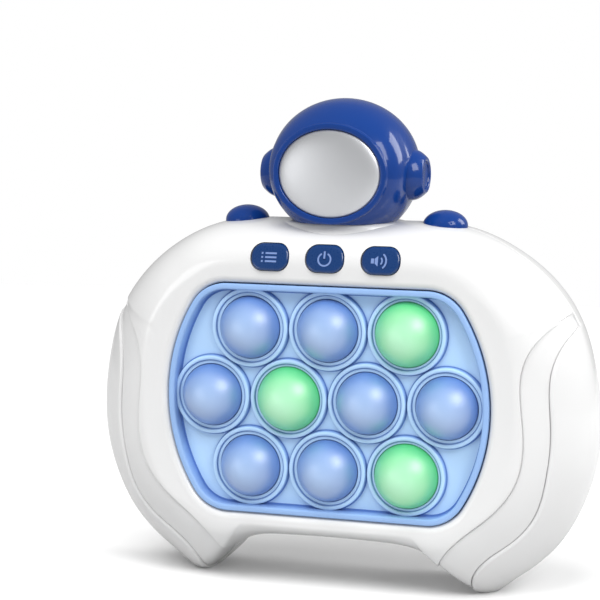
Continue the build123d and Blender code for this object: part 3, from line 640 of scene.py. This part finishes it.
def paint_shade(piece, measure, shades):
    """Write the painted shade at each point, how deep the colour is there, from its measure and a table of
    shades.
    """
    attribute = piece.data.attributes.new("painted_shade", "FLOAT", "POINT")
    attribute.data.foreach_set("value", np.interp(measure, *np.transpose(shades)))


def join(pieces):
    """Join pieces into the first of them."""
    deselect()
    for piece in pieces:
        piece.select_set(True)
    bpy.context.view_layer.objects.active = pieces[0]
    bpy.ops.object.join()
    return pieces[0]


def cut(piece, cutter, operation="DIFFERENCE"):
    """Cut a piece with another, which is then removed."""
    apply_modifier(piece, "BOOLEAN", object=cutter, operation=operation, solver="EXACT")
    bpy.data.objects.remove(cutter)


def block(name, place, width, height, corner, depth, segments=8):
    """A block with round corners that reaches back from the middle of its front face."""
    deselect()
    bpy.ops.mesh.primitive_plane_add(size=1)
    piece = bpy.context.object
    piece.name = name
    piece.scale = (width, height, 1)
    settle(piece, (0, 0, 0), (pi / 2, 0, 0))

    def shape():
        bpy.ops.mesh.bevel(offset=corner, segments=segments, affect="VERTICES")
        bpy.ops.mesh.extrude_region_move(TRANSFORM_OT_translate={"value": (0, depth, 0)})
        bpy.ops.mesh.select_all(action="SELECT")

    mesh_steps(piece, shape, face_out)
    return settle(piece, place)


def rod(x, z, radius, front, back, segments=32):
    """A round rod along Y between two forward values."""
    deselect()
    bpy.ops.mesh.primitive_cylinder_add(
        vertices=segments, radius=radius, depth=front - back, location=(x, -(front + back) / 2, z),
        rotation=(pi / 2, 0, 0))
    bpy.ops.object.transform_apply()
    return bpy.context.object


def finish(piece, material, node=None, angle=35.0, body="case"):
    """Make a finished piece metres, smooth it, give it its finish and body, and hide a carried-over node.
    """
    pick(piece)
    piece.data.transform(Matrix.Scale(metre, 4))
    bpy.ops.object.shade_smooth_by_angle(angle=radians(angle))
    piece.data.materials.clear()
    piece.data.materials.append(material)
    if body:
        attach(piece, body)
    if node:
        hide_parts(node)


# The rounded body of the case, as spokes from the mat opening over the front and round to the back panel
wall_places = 5
roll_places = 13
frame_places = 30
round_places = 160


def smooth_share(value):
    """Rise smoothly from 0 to 1."""
    value = np.clip(value, 0, 1)
    return value * value * (3 - 2 * value)


def smooth_curve(points, closed, count):
    """Evenly spaced places along the smooth curve through some points."""
    points = np.array(points, float)
    if closed:
        points = np.vstack([points, points[:1]])
    steps = np.linalg.norm(np.diff(points, axis=0), axis=1)
    knots = np.concatenate([[0], np.cumsum(steps)])
    slopes = np.diff(points, axis=0) / steps[:, None]
    last = len(points) - 1
    system = np.zeros((last + 1, last + 1))
    right = np.zeros_like(points)
    for index in range(1, last):
        before, after = steps[index - 1:index + 1]
        system[index, index - 1:index + 2] = before, 2 * (before + after), after
        right[index] = 6 * (slopes[index] - slopes[index - 1])
    system[0, 0] = 1
    system[last, last] = 1
    if closed:
        system[0, last] = -1
        system[last, last - 1] = steps[-1]
        system[last, last] = 2 * (steps[-1] + steps[0])
        system[last, 1] = steps[0]
        right[last] = 6 * (slopes[0] - slopes[-1])
    bend = np.linalg.solve(system, right)
    fine = np.linspace(0, knots[-1], 40 * count)
    span = np.clip(np.searchsorted(knots, fine, side="right") - 1, 0, last - 1)
    width = steps[span][:, None]
    ahead = (knots[span + 1] - fine)[:, None] / width
    behind = (fine - knots[span])[:, None] / width
    curve = (ahead * points[span] + behind * points[span + 1]
             + (ahead ** 3 - ahead) * bend[span] * width ** 2 / 6
             + (behind ** 3 - behind) * bend[span + 1] * width ** 2 / 6)
    run = np.concatenate([[0], np.cumsum(np.linalg.norm(np.diff(curve, axis=0), axis=1))])
    even = np.linspace(0, run[-1], count + 1)
    return np.stack([np.interp(even, run, curve[:, axis]) for axis in range(curve.shape[1])], axis=1)


def scaled(shares):
    """Turn shares of the case's half width and top height into places."""
    return [(case_half_width * across, case_top * up) for across, up in shares]


def opening_loop(grow):
    """The mat opening's outline, grown by a distance, round the middle of the bubbles."""
    side_x = opening_half_width - opening_side_radius
    corner_z = opening_half_height - opening_corner_radius
    corner_x = side_x + sqrt((opening_side_radius - opening_corner_radius) ** 2 - corner_z ** 2)
    turn = degrees(atan2(corner_z, corner_x - side_x))
    quarter = [(x, opening_half_height + grow) for x in np.linspace(0, corner_x, 60)[:-1]]
    quarter += arc_places((corner_x, corner_z), opening_corner_radius + grow, 90, turn, 60)
    quarter += arc_places((side_x, 0), opening_side_radius + grow, turn, 0, 60)[1:]
    right = quarter + [(x, -z) for x, z in reversed(quarter[:-1])]
    loop = np.array(right + [(-x, z) for x, z in reversed(right[1:-1])])
    return loop - (0, opening_drop)


def reach_of(loop, angles):
    """How far a star-shaped loop reaches from the middle at some angles."""
    turns = np.arctan2(loop[:, 1], loop[:, 0])
    order = np.argsort(turns)
    return np.interp(angles, turns[order], np.hypot(*loop.T)[order], period=2 * pi)


def case_profiles():
    """Dense places along each spoke, from the opening to the edge of the back panel."""
    right = scaled(outline_shares)
    loop = right + [(-x, z) for x, z in reversed(right[1:-1])]
    outline = smooth_curve(loop, True, spokes) - (0, bubble_z)
    angles = np.arctan2(outline[:, 1], outline[:, 0])
    widest = np.hypot(*outline.T)
    ray = outline / widest[:, None]

    def panel_reach(half_width, half_height):
        across = np.abs(ray[:, 0]) / half_width
        up = np.abs(ray[:, 1]) / half_height
        return (across ** panel_squareness + up ** panel_squareness) ** (-1 / panel_squareness)

    rows = []
    roll_top = case_front - opening_fall
    for wall_forward in np.linspace(opening_wall_forward, roll_top - opening_roll, wall_places)[:-1]:
        rows.append((reach_of(opening_loop(0), angles), wall_forward))
    for turn in np.linspace(0, pi / 2, roll_places):
        rolled = reach_of(opening_loop(opening_roll * (1 - cos(turn))), angles)
        rows.append((rolled, roll_top - opening_roll * (1 - sin(turn))))
    wall_rows = len(rows)
    nearest = rolled + crown_margin
    panel = panel_reach(crown_half_width, crown_half_height)
    crown = 0.5 * (panel + nearest + np.hypot(panel - nearest, crown_blend))
    for share in np.linspace(0, 1, frame_places)[1:-1]:
        rows.append((rolled + share * (crown - rolled), case_front))
    brow = smooth_share((np.degrees(np.arctan2(ray[:, 1], np.abs(ray[:, 0]))) - brow_start) / brow_spread)
    local = front_roundness + (brow_roundness - front_roundness) * brow
    turns = np.linspace(1, 0, round_places)
    for turn in turns:
        rise = (1 - cos(turn * pi / 2) ** front_roundness) ** (1 / front_roundness)
        inwards = 1 - (1 - rise ** local) ** (1 / local)
        level = parting_forward + (case_front - parting_forward) * rise
        rows.append((widest + inwards * (crown - widest), level))
    front_rows = len(rows)
    panel = panel_reach(back_panel_half_width, back_panel_half_height)
    for turn in turns[::-1][1:]:
        inwards = 1 - cos(turn * pi / 2)
        rise = (1 - (1 - inwards) ** back_roundness) ** (1 / back_roundness)
        level = parting_forward - (case_back + parting_forward) * rise
        rows.append((widest + inwards * (panel - widest), level))
    reach = np.array([row_reach for row_reach, _ in rows])
    forward = np.array([np.full(len(angles), row_forward) for _, row_forward in rows])
    away = (reach[wall_rows:front_rows] - rolled) / opening_fall_width
    forward[wall_rows:front_rows] -= opening_fall * (1 - smooth_share(away))
    places = places_at(reach * ray[:, 0], -forward, bubble_z + reach * ray[:, 1])
    return places, reach, front_rows, wall_rows, angles


def normals_of(places):
    """Unit directions that point out of a surface given as rows and columns of places."""
    along = np.gradient(places, axis=0)
    looped = np.concatenate([places[:, -2:-1], places, places[:, 1:2]], axis=1)
    across = np.gradient(looped, axis=1)[:, 1:-1]
    out = np.cross(across, along)
    return out / np.maximum(np.linalg.norm(out, axis=2, keepdims=True), 1e-9)


places, reach, front_rows, wall_rows, angles = case_profiles()
outwards = normals_of(places)
columns = len(angles)
row_steps = np.linalg.norm(np.diff(places, axis=0), axis=2)
lengths = np.concatenate([np.zeros((1, columns)), np.cumsum(row_steps, axis=0)])
roll_end = lengths[wall_rows - 1]
widest_length = lengths[front_rows - 1]
back_length = lengths[-1]


def seam_lengths(shares):
    """Where each spoke crosses a seam curve, as a length along the spoke."""
    seam = smooth_curve(scaled(shares), False, 300) - (0, bubble_z)
    seam_angles = np.arctan2(seam[:, 1], seam[:, 0])
    order = np.argsort(seam_angles)
    folded = np.arctan2(np.sin(angles), np.abs(np.cos(angles)))
    far = 2 * case_half_width
    crossing = np.interp(folded, seam_angles[order], np.hypot(*seam.T)[order], left=far, right=far)
    front = slice(wall_rows, front_rows)
    return np.array([np.interp(crossing[i], reach[front, i], lengths[front, i]) for i in range(columns)])


band_length = seam_lengths(band_seam_shares)
grip_length = seam_lengths(grip_seam_shares)


def surface_ring(length, depth):
    """A ring of places at a length along every spoke, sunk below the surface by a depth."""
    sunk = places - np.broadcast_to(depth, columns)[:, None] * outwards
    return np.array([[np.interp(length[i], lengths[:, i], sunk[:, i, axis]) for axis in range(3)]
                     for i in range(columns)])


def even_rings(start, end, count, depth):
    """Evenly spaced rings from one length to another, all at one depth."""
    return [(start + (end - start) * step / count, depth) for step in range(count)] + [(end, depth)]


def lip_rings(edge, radius, way, count):
    """Rings round a lip whose edge is at a length, from its wall to its top."""
    return [(edge + way * radius * (1 - sin(turn)), radius * (1 - cos(turn)))
            for turn in np.linspace(pi / 2, 0, count)]


def panel_rings(ring):
    """Rings that close a flat panel, from its edge to its middle."""
    middle = np.array((0.0, ring[:, 1].mean(), bubble_z))
    return [middle + share * (ring - middle) for share in (0.95, 0.85, 0.7, 0.5, 0.25, 0.0)]


def closed_piece(name, rings):
    """A piece from rings, each a length and a depth, closed by flat panels at both ends."""
    rings = [surface_ring(*ring) for ring in rings]
    return grid_piece(name, panel_rings(rings[0])[::-1] + rings + panel_rings(rings[-1]))


def make_front_shell():
    """Front shell: rolled mat opening, raised frame, step down to the side bands, and an edge."""
    end = grip_length - seam_gap / 2
    limit = end - shell_edge_round
    step = band_step * smooth_share((widest_length - band_length) / band_fade)
    rings = [(lengths[row], 0.0) for row in range(wall_rows)]
    frame_end = np.minimum(band_length - frame_margin, limit)
    rings += even_rings(roll_end, frame_end, 34, 0.0)[1:-1]
    rings += [(np.minimum(band_length + distance, limit), share * step) for distance, share in step_section]
    rings += even_rings(rings[-1][0], limit, 14, step)[1:-1]
    rings += [(length, depth + step) for length, depth in reversed(lip_rings(end, shell_edge_round, -1, 5))]
    rings += [(end, shell_wall)] + even_rings(limit, roll_end, 20, shell_wall)[:-1]
    rings += [(lengths[row], shell_wall) for row in range(wall_rows - 1, -1, -4)]
    rings.append(rings[0])
    return grid_piece("front_shell_skin", [surface_ring(*ring) for ring in rings], face_out)


def make_rear_shell():
    """Rear shell: the rounded lips and lobes of the grips, the back and its flat panel."""
    start = grip_length + seam_gap / 2
    wide = smooth_share((widest_length - grip_length) / band_fade)
    lip = shell_edge_round + (grip_lip_round - shell_edge_round) * wide
    inner = even_rings(start, back_length, 32, shell_wall)[:0:-1] + [(start, shell_wall)]
    outer = even_rings(start + lip, back_length, 64, 0.0)[1:]
    piece = closed_piece("rear_shell_skin", inner + lip_rings(start, lip, 1, 8) + outer)
    slice_off(piece, (0, 0, 0), (0, 0, 1), clear_inner=True)
    return piece


def seat_half(front):
    """Half of the raised oval seat under the helmet."""
    round_centre = (seat_half_width - seat_round, seat_top - seat_round)
    section = [(0.0, seat_top)] + arc_places(round_centre, seat_round, 90, 90 - seat_slope, 8)
    flank, high = section[-1]
    foot = seat_front_foot if front else seat_back_foot
    section += [(flank + (high - foot) / tan(radians(seat_slope)), foot), (0.0, foot)]
    radius, up = np.array(section).T[..., None]
    turns = np.linspace(0, 2 * pi, seat_spokes + 1)
    deep = seat_half_depth / seat_half_width * radius * np.sin(turns)
    seat = grid_piece("seat", places_at(radius * np.cos(turns), helmet_y + deep, up))
    plane_y = -parting_forward + (-seam_gap / 2 if front else seam_gap / 2)
    slice_off(seat, (0, plane_y, 0), (0, 1, 0), clear_outer=front, clear_inner=not front)
    return seat


def well_rods(radius, front):
    """Six rods at the screw wells, from a forward value to behind the case."""
    return [rod(side * x, z, radius, front, -case_back - cut_past)
            for x, z in screw_wells for side in (-1, 1)]


def grille_rods():
    """Rods for the holes of the speaker grille."""
    rods = []
    for ring in range(grille_rings + 1):
        holes = max(1, 6 * ring)
        for hole in range(holes):
            turn = 2 * pi * hole / holes
            x = ring * grille_pitch * cos(turn)
            z = speaker_z + ring * grille_pitch * sin(turn)
            rods.append(rod(x, z, grille_hole_radius, back_cut_depth - case_back,
                            -case_back - cut_past, 20))
    return rods


def make_bay():
    """The bay of the three cells, with the door's seat and the boss of its screw."""
    seat = block("bay", (0, door_seat_y - bay_wall, door_z), 2 * (door_half_width + bay_wall),
                 door_height + 2 * bay_wall, door_corner + bay_wall, bay_wall - door_play)
    box = block("box", (0, bay_floor_y - bay_wall, battery_z), 2 * (bay_half_width + bay_wall),
                2 * (bay_half_height + bay_wall), bay_outer_corner,
                door_seat_y - bay_joint - bay_floor_y + bay_wall)
    cut(seat, box, "UNION")
    boss = rod(0, door_screw_z, door_boss_radius, door_boss_depth - door_seat_y, bay_joint - door_seat_y)
    cut(seat, boss, "UNION")
    room = block("room", (0, bay_floor_y, battery_z), 2 * bay_half_width, 2 * bay_half_height, bay_corner,
                 bay_room_depth)
    cut(seat, room)
    cut(seat, rod(0, door_screw_z, door_bore_radius, door_bore_depth - door_seat_y, -case_back - cut_past))
    return seat


def cut_rear(rear):
    """Cut the speaker grille, the door opening and the screw wells, and add the battery bay."""
    door = block("door", (0, case_back - back_cut_depth, door_z), 2 * (door_half_width + door_gap),
                 door_height + 2 * door_gap, door_corner + door_gap, back_cut_depth + cut_past)
    cut(rear, join([door] + grille_rods() + well_rods(screw_well_radius, screw_well_forward)))
    inside = closed_piece("inside", even_rings(widest_length, back_length, 40, boss_inset))
    wells = join(well_rods(boss_radius, parting_forward))
    cut(wells, inside, "INTERSECT")
    cut(wells, join(well_rods(screw_well_radius, screw_seat_forward)))
    join([rear, wells, make_bay()])


def make_case():
    """The two halves of the case, with the slots of the three function buttons."""
    front = make_front_shell()
    cut(front, seat_half(True), "UNION")
    for x in button_spots.values():
        slot = block("slot", (x, -slot_front, button_z), button_width + 2 * slot_gap,
                     button_height + 2 * slot_gap, button_corner + slot_gap, slot_front - slot_back)
        cut(front, slot)
    finish(front, white_shell, "front_shell")
    rear = make_rear_shell()
    cut(rear, seat_half(False), "UNION")
    cut_rear(rear)
    finish(rear, white_shell, "rear_shell")


# Bubbles and mat

def cap_arc(radius, tall, base, count):
    """Places (radius, forward) on a ball's cap that stands on a base, from its crown to its rim."""
    ball = (radius ** 2 + tall ** 2) / (2 * tall)
    rim = degrees(asin(min(1, (ball - tall) / ball)))
    return arc_places((0, base + tall - ball), ball, 90, rim, count)


def make_dome(number):
    """A domed bubble, closed round its hollow."""
    x, z = bubble_spots[number - 1]
    lit = number in lit_bubbles
    radius = lit_bubble_radius if lit else bubble_radius
    inner_radius = radius - bubble_wall
    flange_back = flange_forward - flange_thickness
    base = bubble_base_forward - bubble_rim_drop
    tall = bubble_height + bubble_rim_drop
    section = cap_arc(radius, tall, base, 40)
    section += [(radius, flange_forward), (radius + flange_reach, flange_forward),
                (radius + flange_reach, flange_back), (inner_radius, flange_back)]
    section += reversed(cap_arc(inner_radius, tall - bubble_wall, base, 20))
    section = [(r, -forward) for r, forward in section]
    section[0] = (0.0, section[0][1])
    section[-1] = (0.0, section[-1][1])
    name = f"bubble_{number:02d}"
    piece = turned_piece(name + "_skin", section, 96, (x, 0, z))
    # Painted shade: the colour deepens from the crown to a dark line at the rim.
    paint_shade(piece, distance_from(piece, (x, z)) / radius, bubble_painted_shades)
    finish(piece, lit_silicone if lit else bubble_silicone,
           name, 60, None)
    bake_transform(piece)


def cell_limit(centre, rays, hole):
    """How far a cell reaches along its rays: half way to its neighbours or to the border."""
    limit = np.full(len(rays), cell_reach)
    for other in bubble_spots:
        offset = np.array(other) - centre
        distance = np.hypot(*offset)
        if 0 < distance < neighbour_share * bubble_pitch:
            facing = rays @ (offset / distance)
            bisector = distance / 2 / np.maximum(facing, 1e-6)
            limit = np.where(facing > 1e-6, np.minimum(limit, bisector), limit)
    steps = np.linspace(hole, cell_reach, cell_steps)
    spots = np.array(centre) - (0, bubble_z) + rays[:, None, :] * steps[None, :, None]
    far = np.hypot(spots[..., 0], spots[..., 1])
    turns = np.arctan2(spots[..., 1], spots[..., 0])
    bound = opening_loop(-mat_gap - border_overlap * border_width)
    outside = far > reach_of(bound, turns.ravel()).reshape(far.shape)
    first = np.where(outside.any(axis=1), outside.argmax(axis=1), len(steps) - 1)
    return np.minimum(limit, steps[np.maximum(first, 1)])


def mat_cell(number):
    """The web round one bubble, out to its neighbours' cells and to the border."""
    centre = bubble_spots[number - 1]
    hole = (lit_bubble_radius if number in lit_bubbles else bubble_radius) + hole_gap
    turns = 2 * pi * np.arange(cell_spokes + 1) / cell_spokes
    rays = np.stack([np.cos(turns), np.sin(turns)], axis=1)
    limit = cell_limit(centre, rays, hole)
    levels, heights, shades = np.array(hole_section + web_section).T
    levels[:len(hole_section)] += hole
    rows = [np.minimum(level, limit) for level in levels]
    last = rows[-1]
    rows += [last + share * (limit - last) for share in (0.25, 0.5, 0.75, 1.0)]
    radii = np.array(rows)
    across, up = np.moveaxis(radii[..., None] * rays, 2, 0)
    forward = np.interp(radii, levels, heights)
    cell = grid_piece("cell", places_at(centre[0] + across, -forward, centre[1] + up))
    # Painted shade at the hole's edge, in the groove and along the ring's outer wall.
    paint_shade(cell, distance_from(cell, centre), np.transpose((levels, shades)))
    return cell


def turn_forward(piece):
    """Turn an open sheet's faces towards the front."""
    if sum(face.normal.y * face.area for face in piece.data.polygons) > 0:
        mesh_steps(piece, bpy.ops.mesh.flip_normals)


def make_border():
    """The mat's raised border, with its foot on the mat's floor."""
    outer_centre = (border_outer_round, border_top - border_outer_round)
    inner_centre = (border_width - border_inner_round, border_top - border_inner_round)
    section = [(0.0, mat_back_forward)]
    section += arc_places(outer_centre, border_outer_round, 180, 90, 5)
    section += arc_places(inner_centre, border_inner_round, 90, 0, 6)
    section += [(border_width + inwards, floor_forward + up) for inwards, up in border_foot]
    section += [(border_width + border_foot[-1][0], mat_back_forward), section[0]]
    rings = []
    for inwards, forward in section:
        loop = opening_loop(-mat_gap - inwards)
        across, up = np.vstack([loop, loop[:1]]).T
        rings.append(places_at(across, -forward, up + bubble_z))
    border = grid_piece("border", rings, face_out)
    # Painted shade, darkest at the border's foot.
    paint_shade(border, -places_of(border)[:, 1], border_painted_shades)
    return border


def make_mat():
    """The silicone mat: ringed pockets inside a raised border."""
    web = join([mat_cell(number) for number in range(1, 11)])
    mesh_steps(web, lambda: merge_close(cell_merge), face_out)
    turn_forward(web)
    apply_modifier(web, "SOLIDIFY", thickness=sheet_thickness, offset=-1.0)
    mat = join([make_border(), web])
    mat.name = "mat_skin"
    finish(mat, mat_silicone, "bubble_mat", 40)


# Function buttons

def face_place(x, across, up):
    """A place on a function button's sloping face."""
    lean = Matrix.Rotation(-button_tilt, 3, "X")
    return Vector((x, -button_forward, button_z)) + lean @ Vector((across, -symbol_rise, up))


def strip(left, low, right, high):
    """Two rails of a straight strip."""
    return [(left, high), (right, high)], [(left, low), (right, low)]


def bow(across, up, radius, width, start, end):
    """Two rails of a curved strip, between two angles in degrees."""
    return (arc_places((across, up), radius + width / 2, start, end, 33),
            arc_places((across, up), radius - width / 2, start, end, 33))


list_rows = (1.25, 0.0, -1.25)
symbols = {
    "menu_button": [strip(-1.35, up - 0.28, 2.25, up + 0.28) for up in list_rows]
    + [strip(-2.6, up - 0.3, -2.05, up + 0.3) for up in list_rows],
    "power_button": [bow(0.0, -0.1, 1.95, 0.5, 118, 422), strip(-0.27, 0.1, 0.27, 2.35)],
    "volume_button": [
        strip(-2.9, -0.75, -1.95, 0.75), ([(-1.7, 0.75), (-0.75, 1.6)], [(-1.7, -0.75), (-0.75, -1.6)]),
        bow(-0.9, 0.0, 1.5, 0.45, -42, 42), bow(-0.9, 0.0, 2.75, 0.5, -50, 50)],
}


def make_symbol(button, x):
    """A thin printed symbol on a button's face, from pairs of rails."""
    pieces = []
    for rails in symbols[button]:
        rows = [[face_place(x, across, up) for across, up in rail] for rail in rails]
        pieces.append(grid_piece(button + "_symbol", rows))
    piece = join(pieces)
    turn_forward(piece)
    apply_modifier(piece, "SOLIDIFY", thickness=symbol_rise + symbol_root, offset=-1.0)
    finish(piece, symbol_print, body=button)


def make_button(button, x):
    """A function button: a sloping face with a bevelled edge, a flange and a stem."""
    piece = block(button + "_cap", (x, -button_front, button_z), button_width, button_height,
                  button_corner, button_front - button_flange_back, 10)
    slope = Vector((0, -cos(button_tilt), sin(button_tilt)))

    def shape():
        bpy.ops.mesh.bisect(plane_co=(x, -button_forward, button_z), plane_no=slope, use_fill=True,
                            clear_outer=True)
        mesh = bmesh.from_edit_mesh(piece.data)
        for face in mesh.faces:
            face.select = face.normal.dot(slope) > 0.999
        bmesh.update_edit_mesh(piece.data)
        bpy.ops.mesh.bevel(offset=button_edge, segments=5, profile=0.5)
        bpy.ops.mesh.select_all(action="SELECT")

    mesh_steps(piece, shape, face_out)
    flange = block("flange", (x, -button_flange_back - button_flange_depth, button_z),
                   button_width + 2 * button_flange_reach, button_height + 2 * button_flange_reach,
                   button_corner + button_flange_reach, button_flange_depth, 10)
    stem = rod(x, button_z, button_stem_radius, button_flange_back + button_stem_overlap, button_tip)
    cut(piece, flange, "UNION")
    cut(piece, stem, "UNION")
    finish(piece, button_blue, button, 40, button)
    make_symbol(button, x)


# Helmet figure
helmet_turns = np.linspace(0, 2 * pi, helmet_spokes + 1)


def bezel_ring(forward, inwards=0.0, size=1.0):
    """A ring of the bezel's ellipse, moved inwards and then scaled."""
    across = (visor_half_width + bezel_width - inwards) * size * np.cos(helmet_turns)
    up = (visor_half_height + bezel_width - inwards) * size * np.sin(helmet_turns)
    return places_at(across, -forward, visor_z + up)


def helmet_ring(y, grow=0.0):
    """The helmet's outline at a depth. It turns into the bezel's ellipse at the face."""
    depth = (y - helmet_y) / (helmet_half_depth + grow)
    size = sqrt(max(0.0, 1 - min(1.0, depth * depth)))
    face_size = sqrt(1 - ((-helmet_face - helmet_y) / helmet_half_depth) ** 2)
    high = np.where(np.sin(helmet_turns) > 0, helmet_crown + grow, helmet_jaw + grow)
    across = (helmet_half_width + grow) * size * np.cos(helmet_turns)
    body = places_at(across, y, helmet_z + high * size * np.sin(helmet_turns))
    bezel = bezel_ring(-y, -grow, size / face_size)
    return bezel + smooth_share((y + helmet_face) / bezel_fade) * (body - bezel)


def front_helmet():
    """The helmet's front half with the bezel."""
    split = helmet_split - helmet_seam
    top = helmet_face + bezel_height
    inner_centre = (bezel_width - bezel_inner_round, top - bezel_inner_round)
    inside = helmet_face - helmet_shell
    profile = [(0.0, helmet_face + bezel_seam), (bezel_inset, helmet_face + bezel_step)]
    profile += arc_places((bezel_inset + bezel_round, top - bezel_round), bezel_round, 180, 90, 7)
    profile += arc_places(inner_centre, bezel_inner_round, 90, 0, 6)
    profile += [(bezel_width, inside), (bezel_joint, inside)]
    rings = [helmet_ring(y) for y in np.linspace(split, -helmet_face, 42)]
    rings += [bezel_ring(forward, inwards) for inwards, forward in profile]
    rings += [helmet_ring(y, -helmet_shell) for y in np.linspace(1.0 - inside, split, 20)]
    return grid_piece("helmet_front_skin", rings + rings[:1], face_out)


def rear_helmet():
    """The helmet's rear half with its hollow."""
    swing = np.linspace(0, pi / 2, 40)
    start = helmet_split + helmet_seam
    deep = helmet_half_depth + helmet_y - start
    outer = [helmet_ring(start + deep * sin(a)) for a in swing]
    inner = [helmet_ring(start + (deep - helmet_shell) * sin(a), -helmet_shell) for a in swing[::-2]]
    return grid_piece("helmet_rear_skin", outer + inner + outer[:1], face_out)


def make_helmet():
    """Two halves of the helmet, level at the foot."""
    cube = 60.0
    for piece, name in ((front_helmet(), "helmet_front"), (rear_helmet(), "helmet_rear")):
        deselect()
        bpy.ops.mesh.primitive_cube_add(size=cube, location=(0, 0, helmet_foot - cube / 2))
        cut(piece, bpy.context.object)
        finish(piece, royal_blue, name, 40)


def make_visor():
    """The bulged silver visor inside the bezel."""
    half_width = visor_half_width - visor_gap
    face = -helmet_face - visor_rise
    squash = (visor_half_height - visor_gap) / half_width
    section = [(half_width * sin(a), face - visor_bulge * cos(a)) for a in np.linspace(0, pi / 2, 40)]
    section += [(half_width, face + visor_thickness), (0.0, face + visor_thickness)]
    piece = turned_piece("visor_skin", section, 160, (0, 0, visor_z), squash)
    finish(piece, silver_visor, "visor", 40)


def make_ear(side, name):
    """A round cup on the helmet's side with a dished end."""
    section = list(ear_side)
    section += arc_places((ear_rim_radius, ear_reach - ear_rim_round), ear_rim_round, 40, 140, 9)
    section += [(radius, ear_reach - deep) for radius, deep in ear_dish]
    piece = turned_piece(name + "_skin", section, 96)
    settle(piece, (0, helmet_y, ear_z), (0, 0, -side * pi / 2))
    finish(piece, royal_blue, name, 40)


def make_hand(side, name):
    """A small domed hand on the shoulder, with three dimples at its front."""
    tall = hand_top - hand_base
    section = [(hand_radius * sin(a), tall * cos(a)) for a in np.linspace(0, pi / 2, 32)]
    section += [(hand_radius, -hand_root), (0.0, -hand_root)]
    piece = turned_piece(name + "_skin", section, 72)
    settle(piece, (side * hand_x, helmet_y, hand_base), (pi / 2, 0, 0))
    reach = hand_radius + dimple_outset
    for swing in np.radians(dimple_turns):
        deselect()
        place = (side * hand_x + reach * sin(swing), helmet_y - reach * cos(swing), hand_base + dimple_up)
        bpy.ops.mesh.primitive_uv_sphere_add(
            segments=24, ring_count=12, radius=dimple_radius, location=place)
        cut(piece, bpy.context.object)
    finish(piece, royal_blue, name, 40)


make_camera()
make_lights()
make_floor()
make_world()
make_case()
make_mat()
for number in range(1, 11):
    make_dome(number)
for button, x in button_spots.items():
    make_button(button, x)
make_helmet()
make_visor()
make_ear(-1, "ear_cup_left")
make_ear(1, "ear_cup_right")
make_hand(-1, "hand_left")
make_hand(1, "hand_right")
